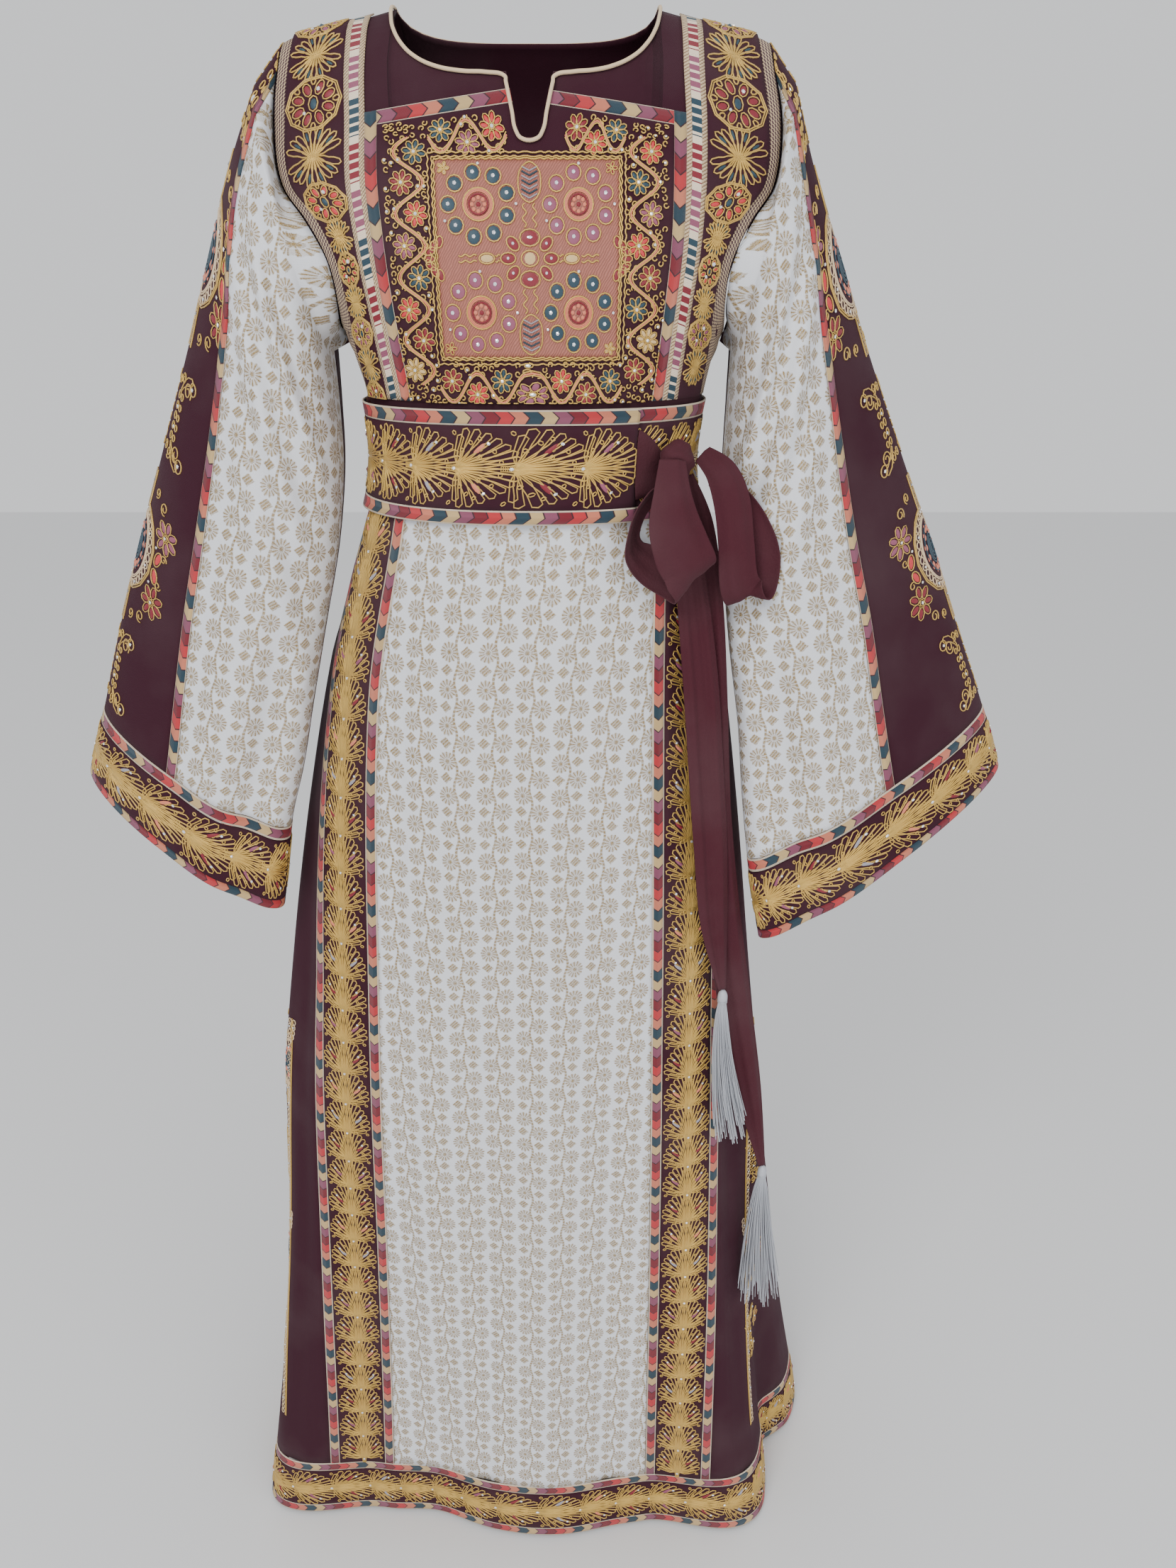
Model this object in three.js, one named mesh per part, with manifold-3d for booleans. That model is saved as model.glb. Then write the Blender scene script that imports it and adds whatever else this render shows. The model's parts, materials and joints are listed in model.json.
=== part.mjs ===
// A woman's festive thobe: a plum and cream embroidered long dress in its worn form, hollow and
// open at neck, hem and cuffs, with its embroidered belt and a tied sash that ends in two tassels.
// Millimetres, +Z up, the front faces -Y. The origin is at the base of the neck, where the
// shoulders carry the dress.
import * as THREE from 'three';
import { mergeVertices } from 'three/addons/utils/BufferGeometryUtils.js';
import Module from 'manifold-3d';

const wasm = await Module();
wasm.setup();

// Driving sizes
const CLOTH = 1.8;               // thickness of a cloth wall
const SEAM = 0.3;                // gap between two pieces at a seam, and under what lies on a panel
const APPLIQUE = 1.4;            // thickness of an embroidered piece that lies on a panel
const BRAID = 11;                // width of a chevron braid
const RAISED = { braid: 0.6, band: 0.8 };   // how far a braid and a gold band stand proud of the cloth
const GOLD = 51;                 // width of the gold bands of the skirt
const WAIST_Z = -300;            // seam between bodice and skirt, under the belt
const HEM_Z = -1472;             // lower edge of the skirt
const HEM_BAND_Z = -1398;        // upper edge of the hem band
const NECK_HALF = 91;            // half width of the neck opening
const NECK_DROP = 46;            // depth of the neck opening at the front
const NECK_BACK_DROP = 14;       // depth of the neck opening at the back
const SHOULDER_Z = -20;          // height of the shoulder point, at the top of the armhole
const UNDERARM_Z = -215;         // height of the underarm point
const SLIT = { middle: 5, top: -38, foot: -87, halfTop: 17.5, halfFoot: 6.5 };

// Sections of bodice and skirt, a row for each height
const SECTIONS = [
  { z: 0, middle: 1, half: 91, front: 14, back: 16, square: 2.4 },
  { z: -10, middle: 1, half: 132, front: 30, back: 32, square: 2.4 },
  { z: -20, middle: 1, half: 170, front: 42, back: 44, square: 2.5 },
  { z: -45, middle: 1, half: 185, front: 61, back: 60, square: 2.5 },
  { z: -75, middle: 2, half: 190, front: 76, back: 68, square: 2.6 },
  { z: -110, middle: 2, half: 188, front: 92, back: 74, square: 2.6 },
  { z: -150, middle: 3, half: 170, front: 104, back: 78, square: 2.6 },
  { z: -185, middle: 3, half: 154, front: 108, back: 78, square: 2.5 },
  { z: -215, middle: 3, half: 142, front: 107, back: 76, square: 2.5 },
  { z: -250, middle: 3, half: 132, front: 104, back: 74, square: 2.4 },
  { z: -300, middle: 1, half: 127, front: 102, back: 76, square: 2.4 },
  { z: -340, middle: -1, half: 134, front: 103, back: 84, square: 2.4 },
  { z: -400, middle: -4, half: 152, front: 108, back: 98, square: 2.4 },
  { z: -470, middle: -9, half: 169, front: 111, back: 112, square: 2.3 },
  { z: -600, middle: -15, half: 193, front: 113, back: 124, square: 2.3 },
  { z: -760, middle: -21, half: 219, front: 115, back: 136, square: 2.3 },
  { z: -900, middle: -23, half: 241, front: 117, back: 146, square: 2.3 },
  { z: -1090, middle: -20, half: 261, front: 120, back: 160, square: 2.2 },
  { z: -1290, middle: -17, half: 281, front: 129, back: 175, square: 2.2 },
  { z: -1400, middle: -14, half: 294, front: 138, back: 184, square: 2.2 },
  { z: -1480, middle: -12, half: 303, front: 144, back: 190, square: 2.2 },
];

// Flutes of the skirt, clockwise from the front as seen from below: place and width in degrees,
// how far the ridge stands out at the hem, and the height where it begins
const FLUTES = [
  { at: -58, wide: 24, out: 58, from: -760 },
  { at: -22, wide: 15, out: -12, from: -900 },
  { at: 2, wide: 15, out: 7, from: -1000 },
  { at: 43, wide: 22, out: 40, from: -820 },
  { at: 72, wide: 14, out: -22, from: -900 },
  { at: 100, wide: 20, out: 24, from: -800 },
  { at: 132, wide: 18, out: 34, from: -640 },
  { at: 165, wide: 17, out: 30, from: -700 },
  { at: 197, wide: 17, out: 36, from: -620 },
  { at: 229, wide: 18, out: 28, from: -700 },
  { at: 260, wide: 16, out: 26, from: -760 },
  { at: 281, wide: 12, out: -16, from: -900 },
];

// Lines across the bodice front, half distances from its middle: the chest frame's outer line,
// the tape's outer line, the shoulder band's outer line and the armhole or side seam
const BODICE_LINES = [
  { z: 0, frame: 107, tape: 121, band: 160, edge: 170 },
  { z: -20, frame: 107, tape: 121, band: 160, edge: 170 },
  { z: -75, frame: 108, tape: 122, band: 166, edge: 177 },
  { z: -112, frame: 108, tape: 122, band: 164, edge: 173 },
  { z: -134, frame: 107, tape: 120, band: 146, edge: 157 },
  { z: -161, frame: 105, tape: 117, band: 134, edge: 143 },
  { z: -190, frame: 102, tape: 113, band: 130, edge: 141 },
  { z: -215, frame: 99, tape: 110, band: 129, edge: 145 },
  { z: -250, frame: 95, tape: 106, band: 125, edge: 140 },
  { z: -300, frame: 91, tape: 102, band: 119, edge: 135 },
];
const BACK_EDGE = [
  { z: 0, edge: 170 }, { z: -20, edge: 170 }, { z: -75, edge: 176 }, { z: -120, edge: 170 },
  { z: -170, edge: 153 }, { z: -215, edge: 145 }, { z: -250, edge: 140 }, { z: -300, edge: 135 },
];
const CHEST_TOP = { middle: -56, corner: -71 };    // upper edge of the chest frame
const CHEST_BRAID = 8.5;
const CHEST_FOOT = -252;                           // where chest panel and bands go under the belt

// Edges of the cream front panel of the skirt, from the middle plane of the dress
const CREAM = [
  { z: -300, left: -93, right: 92 },
  { z: -340, left: -96, right: 94 },
  { z: -484, left: -126, right: 96 },
  { z: -757, left: -146, right: 102 },
  { z: -1100, left: -164, right: 106 },
  { z: -1480, left: -182, right: 109 },
];
const SIDE_SEAM = 100;           // degrees from the front to the seam of skirt side and back

// Sleeves, a row for each section: outer and inner point of the section (x away from the
// middle), half thickness, and the degrees from the outer point to the seam of the cream gore
const SLEEVES = {
  left: [
    { outX: 191, outY: -6, outZ: -45, inX: 152, inY: -16, inZ: -222, thick: 56, seam: 41 },
    { outX: 216, outY: -6, outZ: -95, inX: 150, inY: -22, inZ: -262, thick: 55, seam: 45 },
    { outX: 240, outY: -6, outZ: -155, inX: 150, inY: -30, inZ: -310, thick: 53, seam: 57 },
    { outX: 268, outY: -8, outZ: -225, inX: 158, inY: -38, inZ: -368, thick: 50, seam: 65 },
    { outX: 299, outY: -10, outZ: -300, inX: 173, inY: -44, inZ: -430, thick: 48, seam: 71 },
    { outX: 330, outY: -12, outZ: -375, inX: 190, inY: -50, inZ: -500, thick: 46, seam: 75 },
    { outX: 356, outY: -14, outZ: -440, inX: 203, inY: -54, inZ: -555, thick: 45, seam: 79 },
    { outX: 382, outY: -16, outZ: -512, inX: 219, inY: -58, inZ: -610, thick: 44, seam: 83 },
    { outX: 404, outY: -18, outZ: -570, inX: 234, inY: -62, inZ: -690, thick: 45, seam: 83 },
  ],
  right: [
    { outX: 191, outY: -6, outZ: -45, inX: 154, inY: -16, inZ: -222, thick: 56, seam: 41 },
    { outX: 208, outY: -6, outZ: -95, inX: 152, inY: -24, inZ: -262, thick: 55, seam: 45 },
    { outX: 233, outY: -6, outZ: -155, inX: 150, inY: -36, inZ: -310, thick: 53, seam: 57 },
    { outX: 263, outY: -8, outZ: -225, inX: 152, inY: -50, inZ: -372, thick: 48, seam: 66 },
    { outX: 297, outY: -10, outZ: -300, inX: 159, inY: -62, inZ: -440, thick: 44, seam: 73 },
    { outX: 332, outY: -12, outZ: -375, inX: 170, inY: -68, inZ: -512, thick: 41, seam: 77 },
    { outX: 360, outY: -14, outZ: -440, inX: 176, inY: -74, inZ: -572, thick: 40, seam: 80 },
    { outX: 392, outY: -16, outZ: -512, inX: 184, inY: -78, inZ: -632, thick: 39, seam: 83 },
    { outX: 414, outY: -18, outZ: -568, inX: 199, inY: -80, inZ: -712, thick: 40, seam: 83 },
  ],
};
const CUFF_ROW = 7;              // row of the sleeve tables where the cuff band begins
const CUFF_BRAID = 0.155;        // share of the cuff that each of its braids takes
const CUFF_GAP = 0.01;           // share of the cuff between a braid and the band

const ROW_TURN = 50;             // degrees round a sleeve as long as one row of its table

// Large folds of the sleeves: from and to as row of the table and degrees round the section
const SLEEVE_FOLDS = [
  { row0: 1.6, turn0: 62, row1: 3.2, turn1: 128, wide: 0.34, out: 8 },
  { row0: 0.9, turn0: 70, row1: 2.2, turn1: 140, wide: 0.3, out: 7 },
  { row0: 2.8, turn0: 80, row1: 4.6, turn1: 150, wide: 0.4, out: 6 },
  { row0: 3.6, turn0: 104, row1: 8, turn1: 108, wide: 0.5, out: 6 },
  { row0: 4.2, turn0: 138, row1: 8, turn1: 132, wide: 0.45, out: -5 },
  { row0: 2.0, turn0: -70, row1: 3.6, turn1: -130, wide: 0.4, out: 7 },
  { row0: 3.8, turn0: -95, row1: 8, turn1: -100, wide: 0.5, out: 6 },
];

// Belt: the band runs once and a bit more round the waist, its free end on top at the right.
// Its ends are in degrees from the front, and `under` and `over` are its heights off the dress
const BELT = { top: -256, height: 82, innerEnd: 12, outerEnd: 392, thick: 2.2, under: 1.5, over: 4.1 };

// Sash: a knot on the belt, then bow loops and tails as rows of centre, width, lean of the width
// and its swing to the back, both in degrees; a row without a swing follows the hip
const KNOT = { turn: 47, z: -294, wide: 15, deep: 11, high: 15, lift: 1.75 };
const SWING = 14;
const RIBBON = 1.3;
const BOW_FRONT = [
  { x: 106, y: -99.4, z: -292, wide: 20, lean: 0, swing: 14 },
  { x: 106, y: -109, z: -312, wide: 28, lean: 2, swing: 14 },
  { x: 108, y: -116, z: -335, wide: 40, lean: 4, swing: 14 },
  { x: 114, y: -120, z: -355, wide: 44, lean: 14, swing: 12 },
  { x: 120, y: -120, z: -368, wide: 43, lean: 30, swing: 10 },
  { x: 119, y: -113, z: -377, wide: 42, lean: 42, swing: 8 },
  { x: 109, y: -107, z: -375, wide: 38, lean: 56, swing: 12 },
  { x: 92, y: -106, z: -368, wide: 32, lean: 58, swing: 24 },
  { x: 80, y: -107, z: -358, wide: 27, lean: 40, swing: 48 },
  { x: 78, y: -107, z: -345, wide: 23, lean: 8, swing: 64 },
  { x: 83, y: -103, z: -329, wide: 20, lean: 0, swing: 58 },
  { x: 93, y: -99, z: -317, wide: 16, lean: 0, swing: 40 },
  { x: 101, y: -97.5, z: -312, wide: 12, lean: 0, swing: 25 },
];
const BOW_BACK = [
  { x: 129.3, y: -81, z: -290, wide: 15, lean: 36, swing: 14 },
  { x: 143, y: -91, z: -302, wide: 24, lean: 36, swing: 14 },
  { x: 151, y: -100, z: -322, wide: 28, lean: 28, swing: 14 },
  { x: 155, y: -105, z: -350, wide: 28, lean: 14, swing: 10 },
  { x: 158, y: -107, z: -378, wide: 30, lean: 12, swing: 5 },
  { x: 164, y: -104, z: -390, wide: 34, lean: 14, swing: 0 },
  { x: 171, y: -98, z: -384, wide: 36, lean: 14, swing: -4 },
  { x: 172, y: -94, z: -362, wide: 36, lean: 20, swing: -6 },
  { x: 165, y: -91, z: -338, wide: 28, lean: 28, swing: 0 },
  { x: 152, y: -87, z: -318, wide: 20, lean: 32, swing: 8 },
  { x: 139, y: -81, z: -308, wide: 14, lean: 34, swing: 14 },
];
const TAIL_SHORT = [
  { x: 109, y: -85.4, z: -311, wide: 10, lean: 0 },
  { x: 117, y: -88, z: -345, wide: 20, lean: 2 },
  { x: 126, y: -90, z: -400, wide: 26, lean: 3 },
  { x: 135, y: -93, z: -470, wide: 30, lean: 4 },
  { x: 142, y: -94, z: -540, wide: 31, lean: 4 },
  { x: 149, y: -94, z: -610, wide: 31, lean: 4 },
  { x: 156, y: -94, z: -690, wide: 26, lean: 6 },
  { x: 167, y: -94, z: -762, wide: 7, lean: 8 },
];
const TAIL_LONG = [
  { x: 119.5, y: -78.4, z: -306, wide: 8, lean: 0 },
  { x: 131, y: -80, z: -345, wide: 20, lean: 3 },
  { x: 139, y: -81, z: -410, wide: 26, lean: 4 },
  { x: 146, y: -83, z: -490, wide: 27, lean: 4 },
  { x: 154, y: -84, z: -590, wide: 28, lean: 5 },
  { x: 166, y: -84, z: -690, wide: 32, lean: 6 },
  { x: 182, y: -82, z: -790, wide: 33, lean: 7 },
  { x: 201, y: -82, z: -890, wide: 26, lean: 8 },
  { x: 220, y: -82, z: -985, wide: 7, lean: 10 },
];
const TASSELS = {
  short: { x: 167.6, y: -94, z: -770.2, length: 160, spread: 13, strands: 16, drift: [14, -7] },
  long: { x: 220.6, y: -82, z: -993.2, length: 172, spread: 20, strands: 22, drift: [6, -6] },
};

const PLUM = { color: 0x40152a, roughness: 0.9, metalness: 0 };
const CREAM_CLOTH = { color: 0xdedad3, roughness: 0.7, metalness: 0 };
const GOLD_CORD = { color: 0xc9a24f, roughness: 0.5, metalness: 0.2 };
const BRAID_THREAD = { color: 0xb8323f, roughness: 0.75, metalness: 0 };
const BEIGE_CORD = { color: 0xd9bf9a, roughness: 0.8, metalness: 0 };
const SASH_CREPE = { color: 0x4b1e2a, roughness: 0.85, metalness: 0 };
const SILVER_THREAD = { color: 0xb9bcc2, roughness: 0.45, metalness: 0.1 };

const thobe = new THREE.Group();

const radians = THREE.MathUtils.degToRad;
const lerp = THREE.MathUtils.lerp;
const clamp = THREE.MathUtils.clamp;

// Smooth value of one column of a table whose rows go down in z
function read(table, column, z) {
  const last = table.length - 1;
  let i = 0;
  while (i < last - 1 && z < table[i + 1].z) i += 1;
  const at = (k) => table[clamp(k, 0, last)];
  const [a, b] = [at(i), at(i + 1)];
  const span = b.z - a.z;
  const slope = (k0, k1) => (at(k1)[column] - at(k0)[column]) / (at(k1).z - at(k0).z);
  const s = clamp((z - a.z) / span, 0, 1);
  const m0 = i === 0 ? slope(0, 1) : slope(i - 1, i + 1);
  const m1 = i + 2 > last ? slope(i, i + 1) : slope(i, i + 2);
  const [s2, s3] = [s * s, s * s * s];
  return (2 * s3 - 3 * s2 + 1) * a[column] + (s3 - 2 * s2 + s) * span * m0
    + (3 * s2 - 2 * s3) * b[column] + (s3 - s2) * span * m1;
}

function section(z) {
  const row = {};
  for (const column of ['middle', 'half', 'front', 'back', 'square']) row[column] = read(SECTIONS, column, z);
  return row;
}

function flute(degrees, z) {
  let out = 0;
  for (const fold of FLUTES) {
    const away = Math.abs(((degrees - fold.at + 540) % 360) - 180) / fold.wide;
    if (away >= 1 || z >= fold.from) continue;
    const growth = ((fold.from - z) / (fold.from - HEM_Z)) ** 1.4;
    out += fold.out * growth * Math.cos(away * Math.PI / 2) ** 2;
  }
  return out;
}

// Direction out of the smooth body at a point of it
function outward(x, y, z) {
  const measure = (height) => {
    const s = section(height);
    const depth = y < 0 ? s.front : s.back;
    return (Math.abs(x - s.middle) / s.half) ** s.square + (Math.abs(y) / depth) ** s.square;
  };
  const s = section(z);
  const depth = y < 0 ? s.front : s.back;
  const across = (value, size) => s.square * (Math.abs(value) / size) ** (s.square - 1) / size;
  const step = 0.5;
  return new THREE.Vector3(
    Math.sign(x - s.middle) * across(x - s.middle, s.half),
    Math.sign(y) * across(y, depth),
    (measure(z + step) - measure(z - step)) / (2 * step),
  ).normalize();
}

// Point of bodice or skirt at an angle from the front, moved out of the cloth's face by `off`
function around(degrees, z, off = 0) {
  const s = section(z);
  const a = radians(degrees);
  const power = 2 / s.square;
  const sx = Math.sign(Math.sin(a)) * Math.abs(Math.sin(a)) ** power;
  const cy = Math.sign(Math.cos(a)) * Math.abs(Math.cos(a)) ** power;
  const base = new THREE.Vector3(s.middle + s.half * sx, -(cy > 0 ? s.front : s.back) * cy, z);
  const side = new THREE.Vector3(Math.sin(a), -Math.cos(a), 0);
  const normal = outward(base.x, base.y, z);
  return base.addScaledVector(side, flute(degrees, z)).addScaledVector(normal, off);
}

// Point of the bodice at a distance from its middle, `facing` -1 on the front and 1 on the back
function across(distance, z, facing, off = 0) {
  const s = section(z);
  const share = clamp(Math.abs(distance) / s.half, 0, 1);
  const depth = facing < 0 ? s.front : s.back;
  const y = facing * depth * (1 - share ** s.square) ** (1 / s.square);
  const x = s.middle + distance * Math.min(1, s.half / Math.max(Math.abs(distance), 1e-6));
  const normal = outward(x, y || facing * 1e-6, z);
  return new THREE.Vector3(x, y, z).addScaledVector(normal, off);
}

// Closed wall between two grids of points, rows of equal length; `round` joins the row ends
function wall(outer, inner, round = false) {
  const rows = outer.length;
  const columns = outer[0].length;
  const points = [...outer.flat(), ...inner.flat()];
  const index = [];
  const id = (layer, i, j) => layer * rows * columns + i * columns + (j % columns);
  const quad = (a, b, c, d) => index.push(a, b, c, a, c, d);
  const lastColumn = round ? columns : columns - 1;
  for (let i = 0; i < rows - 1; i += 1) {
    for (let j = 0; j < lastColumn; j += 1) {
      quad(id(0, i, j), id(0, i + 1, j), id(0, i + 1, j + 1), id(0, i, j + 1));
      quad(id(1, i, j), id(1, i, j + 1), id(1, i + 1, j + 1), id(1, i + 1, j));
    }
    if (!round) {
      quad(id(0, i, 0), id(1, i, 0), id(1, i + 1, 0), id(0, i + 1, 0));
      const end = columns - 1;
      quad(id(0, i, end), id(0, i + 1, end), id(1, i + 1, end), id(1, i, end));
    }
  }
  for (let j = 0; j < lastColumn; j += 1) {
    quad(id(0, 0, j), id(0, 0, j + 1), id(1, 0, j + 1), id(1, 0, j));
    quad(id(0, rows - 1, j), id(1, rows - 1, j), id(1, rows - 1, j + 1), id(0, rows - 1, j + 1));
  }
  const geometry = new THREE.BufferGeometry().setFromPoints(points);
  geometry.setIndex(index);
  return geometry;
}

function volume(geometry) {
  const p = geometry.attributes.position;
  const [a, b, c] = [new THREE.Vector3(), new THREE.Vector3(), new THREE.Vector3()];
  let sum = 0;
  for (let k = 0; k < geometry.index.count; k += 3) {
    a.fromBufferAttribute(p, geometry.index.getX(k));
    b.fromBufferAttribute(p, geometry.index.getX(k + 1));
    c.fromBufferAttribute(p, geometry.index.getX(k + 2));
    sum += a.dot(b.cross(c)) / 6;
  }
  return sum;
}

// Adds a geometry as a named piece, its faces turned outwards
function piece(name, geometry, look) {
  if (volume(geometry) < 0) {
    const order = geometry.index.array;
    for (let k = 0; k < order.length; k += 3) [order[k], order[k + 1]] = [order[k + 1], order[k]];
  }
  geometry.computeVertexNormals();
  const mesh = new THREE.Mesh(geometry, new THREE.MeshStandardMaterial(look));
  mesh.name = name;
  thobe.add(mesh);
}

// Steps from 0 to 1
const steps = (count) => Array.from({ length: count + 1 }, (_, k) => k / count);

function solidOf(geometry) {
  const bare = new THREE.BufferGeometry();
  bare.setAttribute('position', geometry.attributes.position.clone());
  bare.setIndex(geometry.index ? geometry.index.clone() : null);
  const merged = mergeVertices(bare, 1e-4);
  return new wasm.Manifold(new wasm.Mesh({
    numProp: 3,
    vertProperties: new Float32Array(merged.attributes.position.array),
    triVerts: new Uint32Array(merged.index.array),
  }));
}

function geometryOf(solid) {
  const mesh = solid.getMesh();
  const points = new Float32Array(mesh.numVert * 3);
  for (let k = 0; k < mesh.numVert; k += 1) {
    for (let c = 0; c < 3; c += 1) points[3 * k + c] = mesh.vertProperties[k * mesh.numProp + c];
  }
  const geometry = new THREE.BufferGeometry();
  geometry.setAttribute('position', new THREE.BufferAttribute(points, 3));
  geometry.setIndex(new THREE.BufferAttribute(new Uint32Array(mesh.triVerts), 1));
  return geometry;
}

// Height of the shoulder line at a distance from the middle
function shoulderLine(distance) {
  let [high, low] = [0, -60];
  for (let k = 0; k < 40; k += 1) {
    const z = (high + low) / 2;
    if (section(z).half < distance) high = z; else low = z;
  }
  return (high + low) / 2;
}

// Upper edge of the bodice at a distance from its middle: neckline, then shoulder line
function bodiceTop(distance, drop) {
  const d = Math.abs(distance);
  if (d >= NECK_HALF) return shoulderLine(d);
  return -drop * Math.sqrt(1 - (d / NECK_HALF) ** 4);
}

// Columns of the bodice front as blends of its lines, counted from the middle to the right
const HALF_COLUMNS = [
  { from: 'middle', to: 'middle', share: 0 },
  ...[0.15, 0.34, 0.53, 0.7, 0.82, 0.92].map((share) => ({ from: 'middle', to: 'frameIn', share })),
  { from: 'frameIn', to: 'frameIn', share: 0 },
  { from: 'frame', to: 'frame', share: 0 },
  ...[0, 0.34, 0.67].map((share) => ({ from: 'tape', to: 'band', share })),
  { from: 'band', to: 'band', share: 0 },
  { from: 'edge', to: 'edge', share: 0 },
];
const COLUMN = { frameIn: 7, frame: 8, tape: 9, band: 12, edge: 13 };
const ROW = { frameTop: 4, fieldTop: 5, foot: 13, waist: 15 };

function frontLine(name, z) {
  if (name === 'middle') return 0;
  if (name === 'frameIn') return read(BODICE_LINES, 'frame', z) - CHEST_BRAID;
  return Math.min(read(BODICE_LINES, name, z), section(z).half);
}

function frontDistance(column, z) {
  const { from, to, share } = HALF_COLUMNS[Math.abs(column)];
  return Math.sign(column) * lerp(frontLine(from, z), frontLine(to, z), share);
}

// Heights of the rows in one column of the bodice front
function frontHeights(column) {
  let top = SHOULDER_Z;
  if (Math.abs(column) < COLUMN.edge) {
    for (let k = 0; k < 12; k += 1) top = bodiceTop(frontDistance(column, top), NECK_DROP);
  }
  const away = Math.min(1, Math.abs(frontDistance(column, -70)) / 107);
  const frameTop = lerp(CHEST_TOP.middle, CHEST_TOP.corner, away);
  const fieldTop = frameTop - CHEST_BRAID;
  return [
    ...[0, 0.12, 0.34, 0.66].map((s) => lerp(top, frameTop, s)),
    frameTop,
    ...steps(8).map((s) => lerp(fieldTop, CHEST_FOOT, s)),
    -276, WAIST_Z + SEAM / 2,
  ];
}

// Grid of points on the bodice front, its borders drawn in by `inset`
function frontGrid(off, [row0, row1], [column0, column1], inset = 0) {
  const grid = [];
  for (let i = row0; i <= row1; i += 1) {
    const line = [];
    for (let j = column0; j <= column1; j += 1) {
      const z = frontHeights(j)[i] + inset * ((i === row1) - (i === row0));
      const distance = frontDistance(j, z) + inset * ((j === column0) - (j === column1));
      line.push(across(distance, z, -1, off));
    }
    grid.push(line);
  }
  return grid;
}

function backGrid(off) {
  const half = [0, 0.195, 0.383, 0.47, 0.535, 0.6, 0.707, 0.831, 0.924, 1];
  const columns = [...half.slice(1).reverse().map((share) => -share), ...half].map((share) => {
    let top = SHOULDER_Z;
    if (Math.abs(share) < 0.999) {
      for (let k = 0; k < 12; k += 1) top = bodiceTop(share * read(BACK_EDGE, 'edge', top), NECK_BACK_DROP);
    }
    return { share, top };
  });
  const rows = [0, 0.02, 0.07, 0.16, 0.28, 0.4, 0.52, 0.64, 0.76, 0.88, 1];
  return rows.map((s) => columns.map(({ share, top }) => {
    const z = lerp(top, WAIST_Z + SEAM / 2, s);
    const point = across(share * read(BACK_EDGE, 'edge', z), z, 1, off);
    point.y += SEAM;
    return point;
  }));
}

// Notch of the neck slit
function slitCutter() {
  const { middle, top, foot, halfTop, halfFoot } = SLIT;
  const outline = new THREE.Shape([
    new THREE.Vector2(middle - halfTop, top), new THREE.Vector2(middle - halfFoot, foot),
    new THREE.Vector2(middle + halfFoot, foot), new THREE.Vector2(middle + halfTop, top),
  ]);
  const block = new THREE.ExtrudeGeometry(outline, { depth: 120, bevelEnabled: false });
  block.rotateX(Math.PI / 2);
  return solidOf(block);
}

function buildBodice() {
  const slit = slitCutter();
  const cutSlit = (geometry) => geometryOf(solidOf(geometry).subtract(slit));
  const whole = [[0, ROW.waist], [-COLUMN.edge, COLUMN.edge]];
  piece('bodice_front', cutSlit(wall(frontGrid(0, ...whole), frontGrid(-CLOTH, ...whole))), PLUM);
  piece('bodice_back', wall(backGrid(0), backGrid(-CLOTH)), PLUM);

  const { frameIn, frame, tape, band } = COLUMN;
  const on = (rows, columns, high = APPLIQUE) => wall(
    frontGrid(SEAM + high, rows, columns, SEAM / 2), frontGrid(SEAM, rows, columns, SEAM / 2));
  piece('chest_panel', cutSlit(on([ROW.fieldTop, ROW.foot], [-frameIn, frameIn])), GOLD_CORD);
  piece('chest_braid_top_left', cutSlit(on([ROW.frameTop, ROW.fieldTop], [-frameIn, 0])), BRAID_THREAD);
  piece('chest_braid_top_right', cutSlit(on([ROW.frameTop, ROW.fieldTop], [0, frameIn])), BRAID_THREAD);
  for (const [side, word] of [[-1, 'left'], [1, 'right']]) {
    const between = (a, b) => (side < 0 ? [-b, -a] : [a, b]);
    piece(`chest_braid_${word}`, on([ROW.frameTop, ROW.foot], between(frameIn, frame)), BRAID_THREAD);
    piece(`block_tape_${word}`, on([0, ROW.foot], between(frame, tape)), BEIGE_CORD);
    piece(`shoulder_band_${word}`, on([0, ROW.foot], between(tape, band)), GOLD_CORD);
  }
}

// Angle from the front where a section reaches a distance from the middle plane
function angleAt(x, z) {
  const s = section(z);
  const share = clamp((x - s.middle) / s.half, -1, 1);
  return Math.sign(share) * THREE.MathUtils.radToDeg(Math.asin(Math.abs(share) ** (s.square / 2)));
}

// Angle reached by going a length along the cloth from another angle
function along(degrees, length, z) {
  const step = 0.25 * Math.sign(length);
  let left = Math.abs(length);
  let at = degrees;
  let here = around(at, z);
  while (left > 0) {
    const next = around(at + step, z);
    const run = here.distanceTo(next);
    at += step * Math.min(1, left / run);
    left -= run;
    here = next;
  }
  return at;
}

// Seams of the skirt at one height, in degrees from the front, from left to right
const seamMemory = new Map();
function skirtSeams(z) {
  if (!seamMemory.has(z)) {
    const creamLeft = angleAt(read(CREAM, 'left', z), z);
    const creamRight = angleAt(read(CREAM, 'right', z), z);
    const bandLeft = along(creamLeft, -BRAID, z);
    const bandRight = along(creamRight, BRAID, z);
    const outerLeft = along(bandLeft, -GOLD, z);
    const outerRight = along(bandRight, GOLD, z);
    const sideLeft = along(outerLeft, -BRAID, z);
    const sideRight = along(outerRight, BRAID, z);
    seamMemory.set(z, [-SIDE_SEAM, sideLeft, outerLeft, bandLeft, creamLeft,
      creamRight, bandRight, outerRight, sideRight, SIDE_SEAM, 360 - SIDE_SEAM]);
  }
  return seamMemory.get(z);
}

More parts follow.
